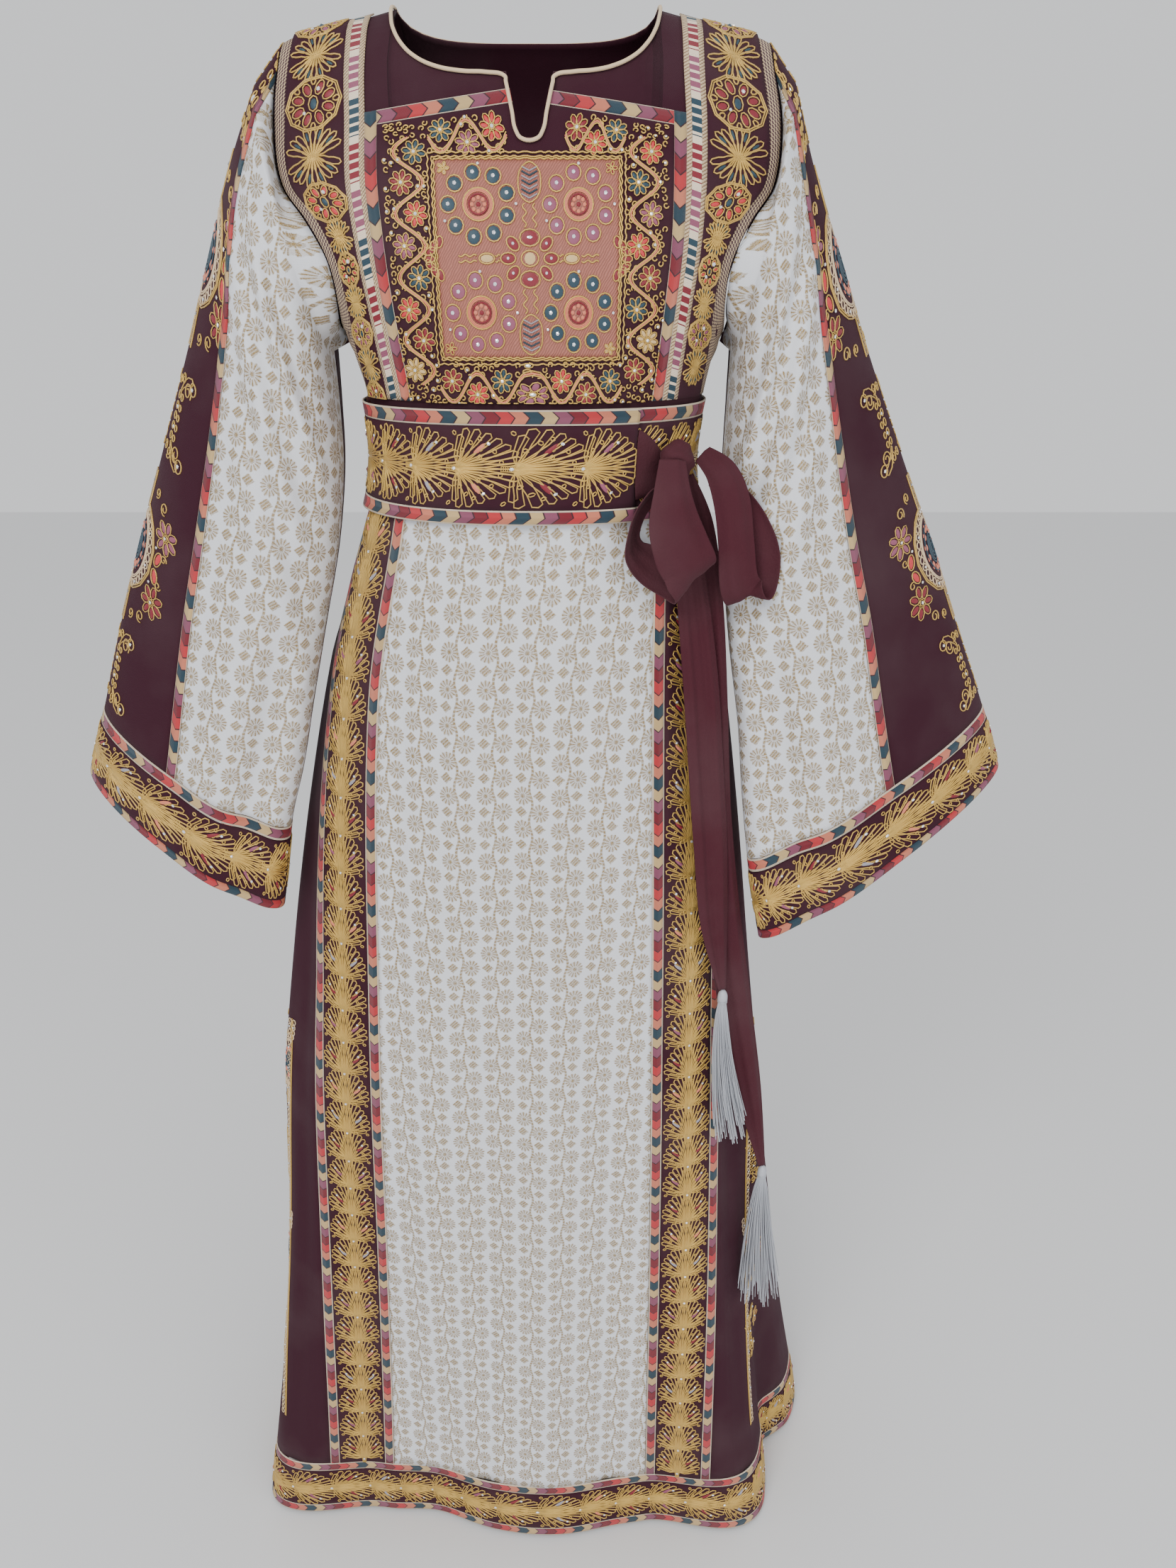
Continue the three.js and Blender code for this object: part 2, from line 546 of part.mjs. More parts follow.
const BELOW_BELT = -350;           // where braids and bands start to stand proud of the skirt
const SKIRT_PANELS = [
  { name: 'skirt_side_left', columns: 6, raised: 0, look: PLUM },
  { name: 'skirt_braid_outer_left', columns: 1, raised: RAISED.braid, look: BRAID_THREAD },
  { name: 'skirt_band_left', columns: 3, raised: RAISED.band, look: GOLD_CORD },
  { name: 'skirt_braid_inner_left', columns: 1, raised: RAISED.braid, look: BRAID_THREAD },
  { name: 'skirt_front', columns: 12, raised: 0, look: CREAM_CLOTH },
  { name: 'skirt_braid_inner_right', columns: 1, raised: RAISED.braid, look: BRAID_THREAD },
  { name: 'skirt_band_right', columns: 3, raised: RAISED.band, look: GOLD_CORD },
  { name: 'skirt_braid_outer_right', columns: 1, raised: RAISED.braid, look: BRAID_THREAD },
  { name: 'skirt_side_right', columns: 6, raised: 0, look: PLUM },
  { name: 'skirt_back', columns: 20, raised: 0, look: PLUM },
];
const SKIRT_ROWS = [WAIST_Z - SEAM / 2, -345, -400, -480, -580, -690, -800, -900, -1000, -1100, -1200,
  -1300, HEM_BAND_Z + SEAM / 2];

// Grid between two angles that may change with the height, kept half a seam inside them
function bandGrid(heights, between, columns, off) {
  return heights.map((z) => {
    const [a, b] = between(z);
    const from = along(a, SEAM / 2, z);
    const to = along(b, -SEAM / 2, z);
    return steps(columns).map((s) => around(lerp(from, to, s), z, off));
  });
}

function buildSkirt() {
  SKIRT_PANELS.forEach(({ name, columns, raised, look }, k) => {
    const between = (z) => skirtSeams(z).slice(k, k + 2);
    const outer = SKIRT_ROWS.map((z) => bandGrid([z], between, columns, z < BELOW_BELT ? raised : 0)[0]);
    const inner = bandGrid(SKIRT_ROWS, between, columns, -CLOTH);
    piece(name, wall(outer, inner), look);
  });
  const half = SEAM / 2;
  const [upper, lower] = [HEM_BAND_Z - BRAID, HEM_Z + BRAID];
  const braid = { raised: RAISED.braid, look: BRAID_THREAD };
  const strips = [
    { name: 'hem_braid_upper', heights: [HEM_BAND_Z - half, upper + half], ...braid },
    { name: 'hem_band', heights: [upper - half, lower + half], raised: RAISED.band, look: GOLD_CORD },
    { name: 'hem_braid_lower', heights: [lower - half, HEM_Z], ...braid },
  ];
  const sides = SKIRT_PANELS.length - 1;
  for (const [word, first, last] of [['front', 0, sides], ['back', sides, sides + 1]]) {
    const turns = hemTurns(first, last);
    for (const { name, heights, raised, look } of strips) {
      const grid = (off) => heights.map((z) => turns.map((degrees) => around(degrees, z, off)));
      piece(`${name}_${word}`, wall(grid(raised), grid(-CLOTH)), look);
    }
  }
}

// Columns of the hem under a run of skirt panels, in degrees: the same as in the panels
function hemTurns(first, last) {
  const seams = skirtSeams(HEM_BAND_Z);
  const turns = SKIRT_PANELS.slice(first, last).flatMap(({ columns }, k) => steps(columns)
    .slice(Math.min(k, 1)).map((s) => lerp(seams[first + k], seams[first + k + 1], s)));
  const end = turns.length - 1;
  turns[0] = along(turns[0], SEAM / 2, HEM_BAND_Z);
  turns[end] = along(turns[end], -SEAM / 2, HEM_BAND_Z);
  return turns;
}

// How far the belt's inner face stands off the dress at an angle along its run
function beltOff(degrees) {
  const climb = THREE.MathUtils.smoothstep(degrees, BELT.innerEnd + 50, 360);
  return lerp(BELT.under, BELT.over, climb);
}

function buildBelt() {
  const low = BELT.top - BELT.height;
  const strips = [
    { name: 'belt_braid_top', heights: [BELT.top, BELT.top - BRAID + SEAM], look: BRAID_THREAD },
    { name: 'belt_band', heights: [BELT.top - BRAID, low + BRAID], look: GOLD_CORD },
    { name: 'belt_braid_bottom', heights: [low + BRAID - SEAM, low], look: BRAID_THREAD },
  ];
  for (const { name, heights, look } of strips) {
    const grid = (extra) => heights.map((z) => steps(46).map((s) => {
      const degrees = lerp(BELT.innerEnd, BELT.outerEnd, s);
      return around(degrees, z, beltOff(degrees) + extra);
    }));
    piece(name, wall(grid(BELT.thick), grid(0)), look);
  }
}

// Value of one column of a sleeve table at a row that may lie between two rows
function sleeveValue(table, column, row) {
  const k = clamp(Math.floor(row), 0, table.length - 2);
  const at = (i) => table[clamp(i, 0, table.length - 1)][column];
  const s = row - k;
  const [p0, p1, p2, p3] = [at(k - 1), at(k), at(k + 1), at(k + 2)];
  return p1 + 0.5 * s * (p2 - p0 + s * (2 * p0 - 5 * p1 + 4 * p2 - p3 + s * (3 * (p1 - p2) + p3 - p0)));
}

function sleeveFold(row, turn) {
  let out = 0;
  for (const fold of SLEEVE_FOLDS) {
    const start = new THREE.Vector2(fold.row0, fold.turn0 / ROW_TURN);
    const run = new THREE.Vector2(fold.row1, fold.turn1 / ROW_TURN).sub(start);
    const here = new THREE.Vector2(row, turn / ROW_TURN).sub(start);
    const s = clamp(here.dot(run) / run.lengthSq(), 0, 1);
    const distance = here.distanceTo(run.clone().multiplyScalar(s)) / fold.wide;
    if (distance >= 1) continue;
    const fade = Math.sin(Math.PI * lerp(0.15, 0.85, s));
    out += fold.out * fade * Math.cos(distance * Math.PI / 2) ** 2;
  }
  return out;
}

// Point of a sleeve: `turn` is 0 at the outer line, 90 at the front and 180 at the underarm line
function sleevePoint(side, row, turn, off = 0) {
  const table = SLEEVES[side < 0 ? 'left' : 'right'];
  const value = (column) => sleeveValue(table, column, row);
  const outer = new THREE.Vector3(side * value('outX'), value('outY'), value('outZ'));
  const inner = new THREE.Vector3(side * value('inX'), value('inY'), value('inZ'));
  const middle = outer.clone().add(inner).multiplyScalar(0.5);
  const half = outer.clone().sub(inner).multiplyScalar(0.5);
  const wrapped = ((turn + 540) % 360) - 180;
  const more = off + sleeveFold(row, wrapped);
  const reach = half.length();
  return middle
    .addScaledVector(half.normalize(), (reach + more) * Math.cos(radians(turn)))
    .addScaledVector(new THREE.Vector3(0, -1, 0), (value('thick') + more) * Math.sin(radians(turn)));
}

// Point of the armhole on the bodice
function armholePoint(side, turn, off) {
  const z = lerp(SHOULDER_Z, UNDERARM_Z, (1 - Math.cos(radians(turn))) / 2);
  const front = Math.sin(radians(turn)) >= 0;
  const edge = front ? frontLine('edge', z) : Math.min(read(BACK_EDGE, 'edge', z), section(z).half);
  return across(side * edge, z, front ? -1 : 1, off);
}

// Root of a sleeve: the armhole, a seam's gap further out, on the mitre that both cloths share;
// near the underarm it lies on the outside of the bodice
function sleeveRoot(side, turn, off) {
  const here = armholePoint(side, turn, 0);
  const tangent = armholePoint(side, turn + 2, 0).sub(armholePoint(side, turn - 2, 0)).normalize();
  const normal = armholePoint(side, turn, 1).sub(here).normalize();
  const away = tangent.cross(normal).multiplyScalar(-side);
  const wrapped = Math.abs(((turn + 540) % 360) - 180);
  const outside = THREE.MathUtils.smoothstep(wrapped, 125, 170) * (CLOTH + 1.5 * SEAM);
  const apart = Math.sin(radians(turn)) > 0 ? ROOT_GAP.front : ROOT_GAP.back;
  return here.addScaledVector(normal, off + outside).addScaledVector(away, apart);
}

const SLEEVE_ROWS = [0, 0.6, 1.2, 1.8, 2.4, 3, 3.8, 4.7, 5.8];
const ROOT = -1;                 // stands for the armhole row, before the first row of the table
const ROOT_GAP = { front: 1.4, back: 2.4 };  // from the armhole to the sleeve's mitred root
const GAP_SHARE = { root: 6, rest: 1.8 };    // gaps of a sleeve's seams, in widths of SEAM

function sleeveGrid(side, rows, between, columns, off) {
  return rows.map((row) => {
    const [from, to] = between(row);
    return steps(columns).map((s) => {
      const turn = lerp(from, to, s);
      return row === ROOT ? sleeveRoot(side, turn, off) : sleevePoint(side, row, turn, off);
    });
  });
}

function buildSleeve(side, word) {
  const table = SLEEVES[word];
  const cuffGap = SEAM / 70;
  const rows = [ROOT, ...SLEEVE_ROWS, CUFF_ROW - cuffGap];
  // Degrees that a length covers across the section
  const arc = (row, length) => {
    const at = Math.max(row, 0);
    return length / sleevePoint(side, at, 70).distanceTo(sleevePoint(side, at, 71));
  };
  const seam = (row) => sleeveValue(table, 'seam', Math.max(row, 0));
  const braidHalf = (row) => arc(row, BRAID / 2 - 1);
  const gap = (row) => arc(row, SEAM) * (row === ROOT ? GAP_SHARE.root : GAP_SHARE.rest);
  const panels = [
    { name: 'sleeve_outer', look: PLUM, columns: 14, raised: 0,
      between: (row) => [-180 + gap(row), seam(row) - braidHalf(row) - gap(row)] },
    { name: 'sleeve_braid', look: BRAID_THREAD, columns: 1, raised: RAISED.braid,
      between: (row) => [seam(row) - braidHalf(row), seam(row) + braidHalf(row)] },
    { name: 'sleeve_front', look: CREAM_CLOTH, columns: 11, raised: 0,
      between: (row) => [seam(row) + braidHalf(row) + gap(row), 180 - gap(row)] },
  ];
  for (const { name, look, columns, raised, between } of panels) {
    const grid = (off) => sleeveGrid(side, rows, between, columns, off);
    piece(`${name}_${word}`, wall(grid(raised), grid(-CLOTH)), look);
  }
  const inner = CUFF_BRAID + CUFF_GAP;
  const strips = [
    { name: 'cuff_braid_upper', from: cuffGap, to: CUFF_BRAID, raised: RAISED.braid, look: BRAID_THREAD },
    { name: 'cuff_band', from: inner, to: 1 - inner, raised: RAISED.band, look: GOLD_CORD },
    { name: 'cuff_braid_lower', from: 1 - CUFF_BRAID, to: 1, raised: RAISED.braid, look: BRAID_THREAD },
  ];
  for (const { name, from, to, raised, look } of strips) {
    const turns = steps(26).slice(0, -1).map((s) => s * 360);
    const grid = (off) => [from, to]
      .map((share) => turns.map((turn) => sleevePoint(side, CUFF_ROW + share, turn, off)));
    piece(`${name}_${word}`, wall(grid(raised), grid(-CLOTH), true), look);
  }
}

// Corded binding round the neck and its slit, lying on the cloth just inside the edge
function buildBinding() {
  const radius = 1.3;
  const inset = 1.7;
  const low = SEAM + radius;
  const high = 2 * SEAM + APPLIQUE + radius;
  const points = [];
  const add = (x, z, facing, off) => points.push(across(x - section(z).middle, z, facing, off));
  const neck = (share, drop, facing) => {
    const distance = (NECK_HALF + inset) * share;
    const z = -(drop + inset) * Math.sqrt(Math.max(0, 1 - share ** 4));
    const height = Math.min(z, Math.abs(distance) > NECK_HALF ? shoulderLine(Math.abs(distance)) : z);
    points.push(across(distance, height, facing, low));
  };
  const { middle, foot, halfTop, halfFoot, top } = SLIT;
  const slitX = (z) => inset + lerp(halfTop, halfFoot, (z - top) / (foot - top));
  for (const s of [-1, -0.985, -0.95, -0.89, -0.8, -0.65, -0.45, -0.27]) neck(s, NECK_DROP, -1);
  const down = [[-50, low], [-54, lerp(low, high, 0.6)], [-60, high], [-72, high], [-84, high]];
  for (const [z, off] of down) add(middle - slitX(z), z, -1, off);
  for (const side of [-1, 1]) add(middle + side * (halfFoot - 1.5), foot - inset, -1, high);
  for (const [z, off] of down.slice().reverse()) add(middle + slitX(z), z, -1, off);
  for (const s of [0.36, 0.5, 0.65, 0.8, 0.89, 0.95, 0.985, 1]) neck(s, NECK_DROP, -1);
  for (const s of [0.97, 0.88, 0.7, 0.4, 0, -0.4, -0.7, -0.88, -0.97]) neck(s, NECK_BACK_DROP, 1);
  const path = new THREE.CatmullRomCurve3(points, true, 'centripetal');
  piece('neck_binding', new THREE.TubeGeometry(path, 96, radius, 4, true), BEIGE_CORD);
}

// Ribbon of cloth along a table of rows, cupped a little across its width
function ribbon(rows, columns, cup) {
  const centres = rows.map(({ x, y, z }) => new THREE.Vector3(x, y, z));
  const grids = [[], []];
  rows.forEach(({ wide, lean, swing = SWING }, i) => {
    const ahead = centres[Math.min(i + 1, rows.length - 1)];
    const behind = centres[Math.max(i - 1, 0)];
    const tangent = ahead.clone().sub(behind).normalize();
    const level = Math.cos(radians(swing));
    const width = new THREE.Vector3(
      Math.cos(radians(lean)) * level, Math.sin(radians(swing)), Math.sin(radians(lean)) * level);
    width.addScaledVector(tangent, -width.dot(tangent)).normalize();
    const normal = new THREE.Vector3().crossVectors(width, tangent).normalize();
    [RIBBON / 2, -RIBBON / 2].forEach((off, layer) => {
      grids[layer].push(steps(columns).map((s) => centres[i].clone()
        .addScaledVector(width, wide * (s - 0.5))
        .addScaledVector(normal, off + cup * (1 - (2 * s - 1) ** 2) * Math.min(1, wide / 40))));
    });
  });
  return wall(grids[0], grids[1]);
}

function knotCentre() {
  return around(KNOT.turn, KNOT.z, beltOff(KNOT.turn) + BELT.thick + KNOT.deep + KNOT.lift);
}

function buildSash() {
  const centre = knotCentre();
  const out = around(KNOT.turn, KNOT.z, 1).sub(around(KNOT.turn, KNOT.z)).setZ(0).normalize();
  const knot = new THREE.SphereGeometry(1, 12, 8);
  knot.scale(KNOT.wide, KNOT.deep, KNOT.high);
  knot.rotateZ(Math.atan2(out.x, -out.y));
  knot.translate(centre.x, centre.y, centre.z);
  piece('sash_knot', knot, SASH_CREPE);
  piece('bow_loop_front', ribbon(BOW_FRONT, 6, -4), SASH_CREPE);
  piece('bow_loop_back', ribbon(BOW_BACK, 6, -4), SASH_CREPE);
  piece('sash_tail_short', ribbon(TAIL_SHORT, 4, -3), SASH_CREPE);
  piece('sash_tail_long', ribbon(TAIL_LONG, 4, -3), SASH_CREPE);
}

// Tassel: a bound head with strands that hang and spread from inside it
function buildTassel(name, { x, y, z, length, spread, strands, drift }) {
  const head = new THREE.SphereGeometry(1, 8, 6);
  head.scale(4.6, 4.6, 8);
  head.translate(x, y, z);
  let solid = solidOf(head);
  const goldenTurn = Math.PI * (3 - Math.sqrt(5));
  for (let k = 0; k < strands; k += 1) {
    const ring = Math.sqrt((k + 0.5) / strands);
    const turn = k * goldenTurn;
    const long = length * (0.9 + 0.1 * Math.cos(5 * turn));
    const strand = new THREE.CylinderGeometry(0.6, 0.6, 1, 3, 2);
    const spot = strand.attributes.position;
    for (let i = 0; i < spot.count; i += 1) {
      const s = 0.5 - spot.getY(i);
      const reach = ring * (2.6 + spread * s ** 0.8);
      spot.setXYZ(i,
        x + spot.getX(i) + reach * Math.cos(turn) + drift[0] * s * s,
        y + spot.getZ(i) + 0.55 * reach * Math.sin(turn) + drift[1] * s * s,
        z - 3 - long * s);
    }
    let strandSolid = solidOf(strand);
    if (strandSolid.volume() < 0) strandSolid = solidOf(flipped(strand));
    solid = solid.add(strandSolid);
  }
  piece(name, geometryOf(solid), SILVER_THREAD);
}

function flipped(geometry) {
  const copy = geometry.clone();
  const order = copy.index.array;
  for (let k = 0; k < order.length; k += 3) [order[k], order[k + 1]] = [order[k + 1], order[k]];
  return copy;
}

buildBodice();
buildSkirt();
buildBelt();
for (const [side, word] of [[-1, 'left'], [1, 'right']]) buildSleeve(side, word);
buildBinding();
buildSash();
buildTassel('tassel_short', TASSELS.short);
buildTassel('tassel_long', TASSELS.long);

export default thobe;
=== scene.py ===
# %% [markdown]
# # Embroidered thobe in worn form
# The long dress is shown as the CAD frame carries it: front to -Y, up to +Z, origin at the base
# of the neck. Each cloth of the CAD is replaced by a finer cloth on the same form, with its
# creases, weave and needlework. All sizes are in metres.

import json
import math
import random

import bmesh
import bpy
import numpy as np
from mathutils import Matrix, Vector

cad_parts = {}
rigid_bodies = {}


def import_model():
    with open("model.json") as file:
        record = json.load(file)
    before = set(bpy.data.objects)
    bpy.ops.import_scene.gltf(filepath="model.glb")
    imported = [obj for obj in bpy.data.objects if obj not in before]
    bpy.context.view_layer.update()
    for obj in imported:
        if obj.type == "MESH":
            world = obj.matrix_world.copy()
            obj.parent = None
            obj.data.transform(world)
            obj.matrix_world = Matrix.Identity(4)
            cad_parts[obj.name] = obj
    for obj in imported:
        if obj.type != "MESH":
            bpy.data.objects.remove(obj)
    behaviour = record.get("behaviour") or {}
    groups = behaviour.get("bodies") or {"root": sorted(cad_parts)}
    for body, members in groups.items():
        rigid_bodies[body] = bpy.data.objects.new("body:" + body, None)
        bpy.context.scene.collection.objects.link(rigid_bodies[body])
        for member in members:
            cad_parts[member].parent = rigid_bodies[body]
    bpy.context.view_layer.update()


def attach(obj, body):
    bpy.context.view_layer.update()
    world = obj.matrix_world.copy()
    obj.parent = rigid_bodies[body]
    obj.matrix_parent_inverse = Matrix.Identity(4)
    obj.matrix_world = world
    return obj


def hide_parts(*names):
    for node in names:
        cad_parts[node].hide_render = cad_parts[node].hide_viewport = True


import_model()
RANDOM = random.Random(7)
CIRCLE = 2 * math.pi
SIDES = ((-1, "left"), (1, "right"))

# %% [markdown]
# ## Camera, floor and light
# The camera stands close to the chest and looks down at the hem, as in the photo. The light is
# the soft light of a studio: a large lamp in front and above, one at each side, and a pale world.

# %% Camera, floor and lamps
FOCAL_PIXELS, PHOTO_HEIGHT, SENSOR = 1534, 2212, 36
TILT_DOWN = math.radians(24.7)
FLOOR_Z = -1.478


def add_object(name, data):
    """A new object in the scene."""
    item = bpy.data.objects.new(name, data)
    bpy.context.scene.collection.objects.link(item)
    return item


camera_data = bpy.data.cameras.new("camera")
camera_data.sensor_width = SENSOR
camera_data.lens = FOCAL_PIXELS / PHOTO_HEIGHT * SENSOR
camera_data.clip_start = 0.05
camera = add_object("camera", camera_data)
camera.location = (0.044, -0.92, -0.175)
camera.rotation_euler = (math.pi / 2 - TILT_DOWN, 0, 0)
bpy.context.scene.camera = camera


def lamp(name, place, target, size, power):
    """A large soft lamp that looks at a point."""
    data = bpy.data.lights.new(name, "AREA")
    data.size, data.energy = size, power
    item = add_object(name, data)
    item.location = place
    item.rotation_euler = (Vector(target) - Vector(place)).to_track_quat("-Z", "Y").to_euler()


lamp("key", (-0.9, -2.0, 1.3), (0, 0, -0.5), 1.1, 38)
lamp("fill", (1.7, -1.8, 0.5), (0, 0, -0.6), 1.6, 10)
lamp("low", (0.2, -2.2, -0.8), (0, 0, -1.1), 1.2, 10)
world = bpy.data.worlds.new("world")
world.use_nodes = True
world.node_tree.nodes["Background"].inputs["Color"].default_value = (0.93, 0.94, 0.96, 1)
world.node_tree.nodes["Background"].inputs["Strength"].default_value = 0.95
bpy.context.scene.world = world

floor_mesh = bpy.data.meshes.new("floor")
bm = bmesh.new()
bmesh.ops.create_grid(bm, x_segments=1, y_segments=1, size=6,
                      matrix=Matrix.Translation((0, 0, FLOOR_Z)))
bm.to_mesh(floor_mesh)
bm.free()
floor = add_object("floor", floor_mesh)
print("camera lens", round(camera_data.lens, 3))

# %% [markdown]
# ## Form of the dress
# The same tables as in the CAD: sections of bodice and skirt, lines of the seams, and sections
# of the sleeves, in millimetres. A smooth curve runs through the rows of each table.

# %% Tables of the form
CLOTH, APPLIQUE, SEAM = 1.8, 1.4, 0.3
BRAID, GOLD, BRAID_RISE, GOLD_RISE = 11, 51, 0.6, 0.8
WAIST_Z, HEM_Z, HEM_BAND_Z = -300, -1472, -1398
NECK_HALF, NECK_DROP, NECK_BACK_DROP = 91, 46, 14
SHOULDER_Z, UNDERARM_Z = -20, -215
SLIT = dict(middle=5, top=-38, foot=-87, half_top=17.5, half_foot=6.5)
SIDE_SEAM = 100
CHEST_TOP_MIDDLE, CHEST_TOP_CORNER, CHEST_BRAID, CHEST_FOOT = -56, -71, 8.5, -252
BELT_TOP, BELT_HIGH, BELT_FROM, BELT_TO = -256, 82, 12, 392
BELT_THICK, BELT_UNDER, BELT_OVER = 2.2, 1.5, 4.1
# From this angle on, the belt rises from BELT_UNDER to BELT_OVER, where its end laps over
BELT_RISE_FROM = BELT_FROM + 50

# z, middle, half width, front depth, back depth, squareness
SECTIONS = [
    (0, 1, 91, 14, 16, 2.4), (-10, 1, 132, 30, 32, 2.4), (-20, 1, 170, 42, 44, 2.5),
    (-45, 1, 185, 61, 60, 2.5), (-75, 2, 190, 76, 68, 2.6), (-110, 2, 188, 92, 74, 2.6),
    (-150, 3, 170, 104, 78, 2.6), (-185, 3, 154, 108, 78, 2.5), (-215, 3, 142, 107, 76, 2.5),
    (-250, 3, 132, 104, 74, 2.4), (-300, 1, 127, 102, 76, 2.4), (-340, -1, 134, 103, 84, 2.4),
    (-400, -4, 152, 108, 98, 2.4), (-470, -9, 169, 111, 112, 2.3), (-600, -15, 193, 113, 124, 2.3),
    (-760, -21, 219, 115, 136, 2.3), (-900, -23, 241, 117, 146, 2.3),
    (-1090, -20, 261, 120, 160, 2.2), (-1290, -17, 281, 129, 175, 2.2),
    (-1400, -14, 294, 138, 184, 2.2), (-1480, -12, 303, 144, 190, 2.2),
]
# Place and width in degrees, how far out at the hem, and the height where the flute begins
FLUTES = [
    (-58, 24, 58, -760), (-22, 15, -12, -900), (2, 15, 7, -1000), (43, 22, 40, -820),
    (72, 14, -22, -900), (100, 20, 24, -800), (132, 18, 34, -640), (165, 17, 30, -700),
    (197, 17, 36, -620), (229, 18, 28, -700), (260, 16, 26, -760), (281, 12, -16, -900),
]
# z, frame, tape, shoulder band and edge: half distances across the bodice front
BODICE_LINES = [
    (0, 107, 121, 160, 170), (-20, 107, 121, 160, 170), (-75, 108, 122, 166, 177),
    (-112, 108, 122, 164, 173), (-134, 107, 120, 146, 157), (-161, 105, 117, 134, 143),
    (-190, 102, 113, 130, 141), (-215, 99, 110, 129, 145), (-250, 95, 106, 125, 140),
    (-300, 91, 102, 119, 135),
]
BACK_EDGE = [(0, 170), (-20, 170), (-75, 176), (-120, 170), (-170, 153), (-215, 145),
             (-250, 140), (-300, 135)]
CREAM = [(-300, -93, 92), (-340, -96, 94), (-484, -126, 96), (-757, -146, 102),
         (-1100, -164, 106), (-1480, -182, 109)]
# Outer point (x, y, z), inner point (x, y, z), half thickness, degrees to the gore's seam
SLEEVES = {
    -1: [
        (191, -6, -45, 152, -16, -222, 56, 41), (216, -6, -95, 150, -22, -262, 55, 45),
        (240, -6, -155, 150, -30, -310, 53, 57), (268, -8, -225, 158, -38, -368, 50, 65),
        (299, -10, -300, 173, -44, -430, 48, 71), (330, -12, -375, 190, -50, -500, 46, 75),
        (356, -14, -440, 203, -54, -555, 45, 79), (382, -16, -512, 219, -58, -610, 44, 83),
        (404, -18, -570, 234, -62, -690, 45, 83),
    ],
    1: [
        (191, -6, -45, 154, -16, -222, 56, 41), (208, -6, -95, 152, -24, -262, 55, 45),
        (233, -6, -155, 150, -36, -310, 53, 57), (263, -8, -225, 152, -50, -372, 48, 66),
        (297, -10, -300, 159, -62, -440, 44, 73), (332, -12, -375, 170, -68, -512, 41, 77),
        (360, -14, -440, 176, -74, -572, 40, 80), (392, -16, -512, 184, -78, -632, 39, 83),
        (414, -18, -568, 199, -80, -712, 40, 83),
    ],
}
# Where the cuff begins, and in rows of the table: its braids, their gap to the band, the seam
CUFF_ROW, CUFF_BRAID, CUFF_GAP, CUFF_SEAM = 7, 0.155, 0.01, 0.004
# Between a sleeve's braid and its cloths, in millimetres
SLEEVE_GAP = 0.55
# From and to as row of the table and degrees round the sleeve, width in rows, how far out.
# For the width, a row is as long as FOLD_DEGREES round the sleeve.
FOLD_DEGREES = 50
SLEEVE_FOLDS = [
    (1.6, 62, 3.2, 128, 0.34, 8), (0.9, 70, 2.2, 140, 0.3, 7), (2.8, 80, 4.6, 150, 0.4, 6),
    (3.6, 104, 8, 108, 0.5, 6), (4.2, 138, 8, 132, 0.45, -5), (2.0, -70, 3.6, -130, 0.4, 7),
    (3.8, -95, 8, -100, 0.5, 6),
]


def smooth_columns(table):
    """A function that reads all columns of a table at any heights, on one smooth curve."""
    rows = np.array(table, float)
    z, values = rows[:, 0], rows[:, 1:]
    slope = np.empty_like(values)
    slope[1:-1] = (values[2:] - values[:-2]) / (z[2:] - z[:-2])[:, None]
    slope[0] = (values[1] - values[0]) / (z[1] - z[0])
    slope[-1] = (values[-1] - values[-2]) / (z[-1] - z[-2])

    def at(height):
        height = np.asarray(height, float)
        k = np.clip(np.searchsorted(-z, -height, side="right") - 1, 0, len(z) - 2)
        span = (z[k + 1] - z[k])[..., None]
        s = np.clip((height - z[k]) / (z[k + 1] - z[k]), 0, 1)[..., None]
        return ((2 * s**3 - 3 * s**2 + 1) * values[k] + (s**3 - 2 * s**2 + s) * span * slope[k]
                + (3 * s**2 - 2 * s**3) * values[k + 1] + (s**3 - s**2) * span * slope[k + 1])

    return at


section = smooth_columns(SECTIONS)
bodice_lines = smooth_columns(BODICE_LINES)
back_edge = smooth_columns(BACK_EDGE)
cream_edges = smooth_columns(CREAM)


def outward(x, y, z):
    """Direction out of the smooth body at points of it."""
    def measure(height):
        middle, half, front, back, square = np.moveaxis(section(height), -1, 0)
        depth = np.where(y < 0, front, back)
        return (abs(x - middle) / half) ** square + (abs(y) / depth) ** square

    middle, half, front, back, square = np.moveaxis(section(z), -1, 0)
    depth = np.where(y < 0, front, back)
    normal = np.stack([
        np.sign(x - middle) * square * (abs(x - middle) / half) ** (square - 1) / half,
        np.sign(y) * square * (abs(y) / depth) ** (square - 1) / depth,
        measure(z + 0.5) - measure(z - 0.5),
    ], -1)
    return normal / np.linalg.norm(normal, axis=-1, keepdims=True)


def swell(away):
    """A soft rise: 1 in its middle and 0 from a distance of 1 on."""
    return np.where(away < 1, np.cos(np.minimum(away, 1) * math.pi / 2) ** 2, 0)


def flute(degrees, z):
    """How far the skirt's flutes stand out."""
    out = np.zeros(np.broadcast(degrees, z).shape)
    for at, wide, far, start in FLUTES:
        away = abs(((degrees - at + 540) % 360) - 180) / wide
        growth = (np.maximum(start - z, 0) / (start - HEM_Z)) ** 1.4
        out = out + far * growth * swell(away)
    return out


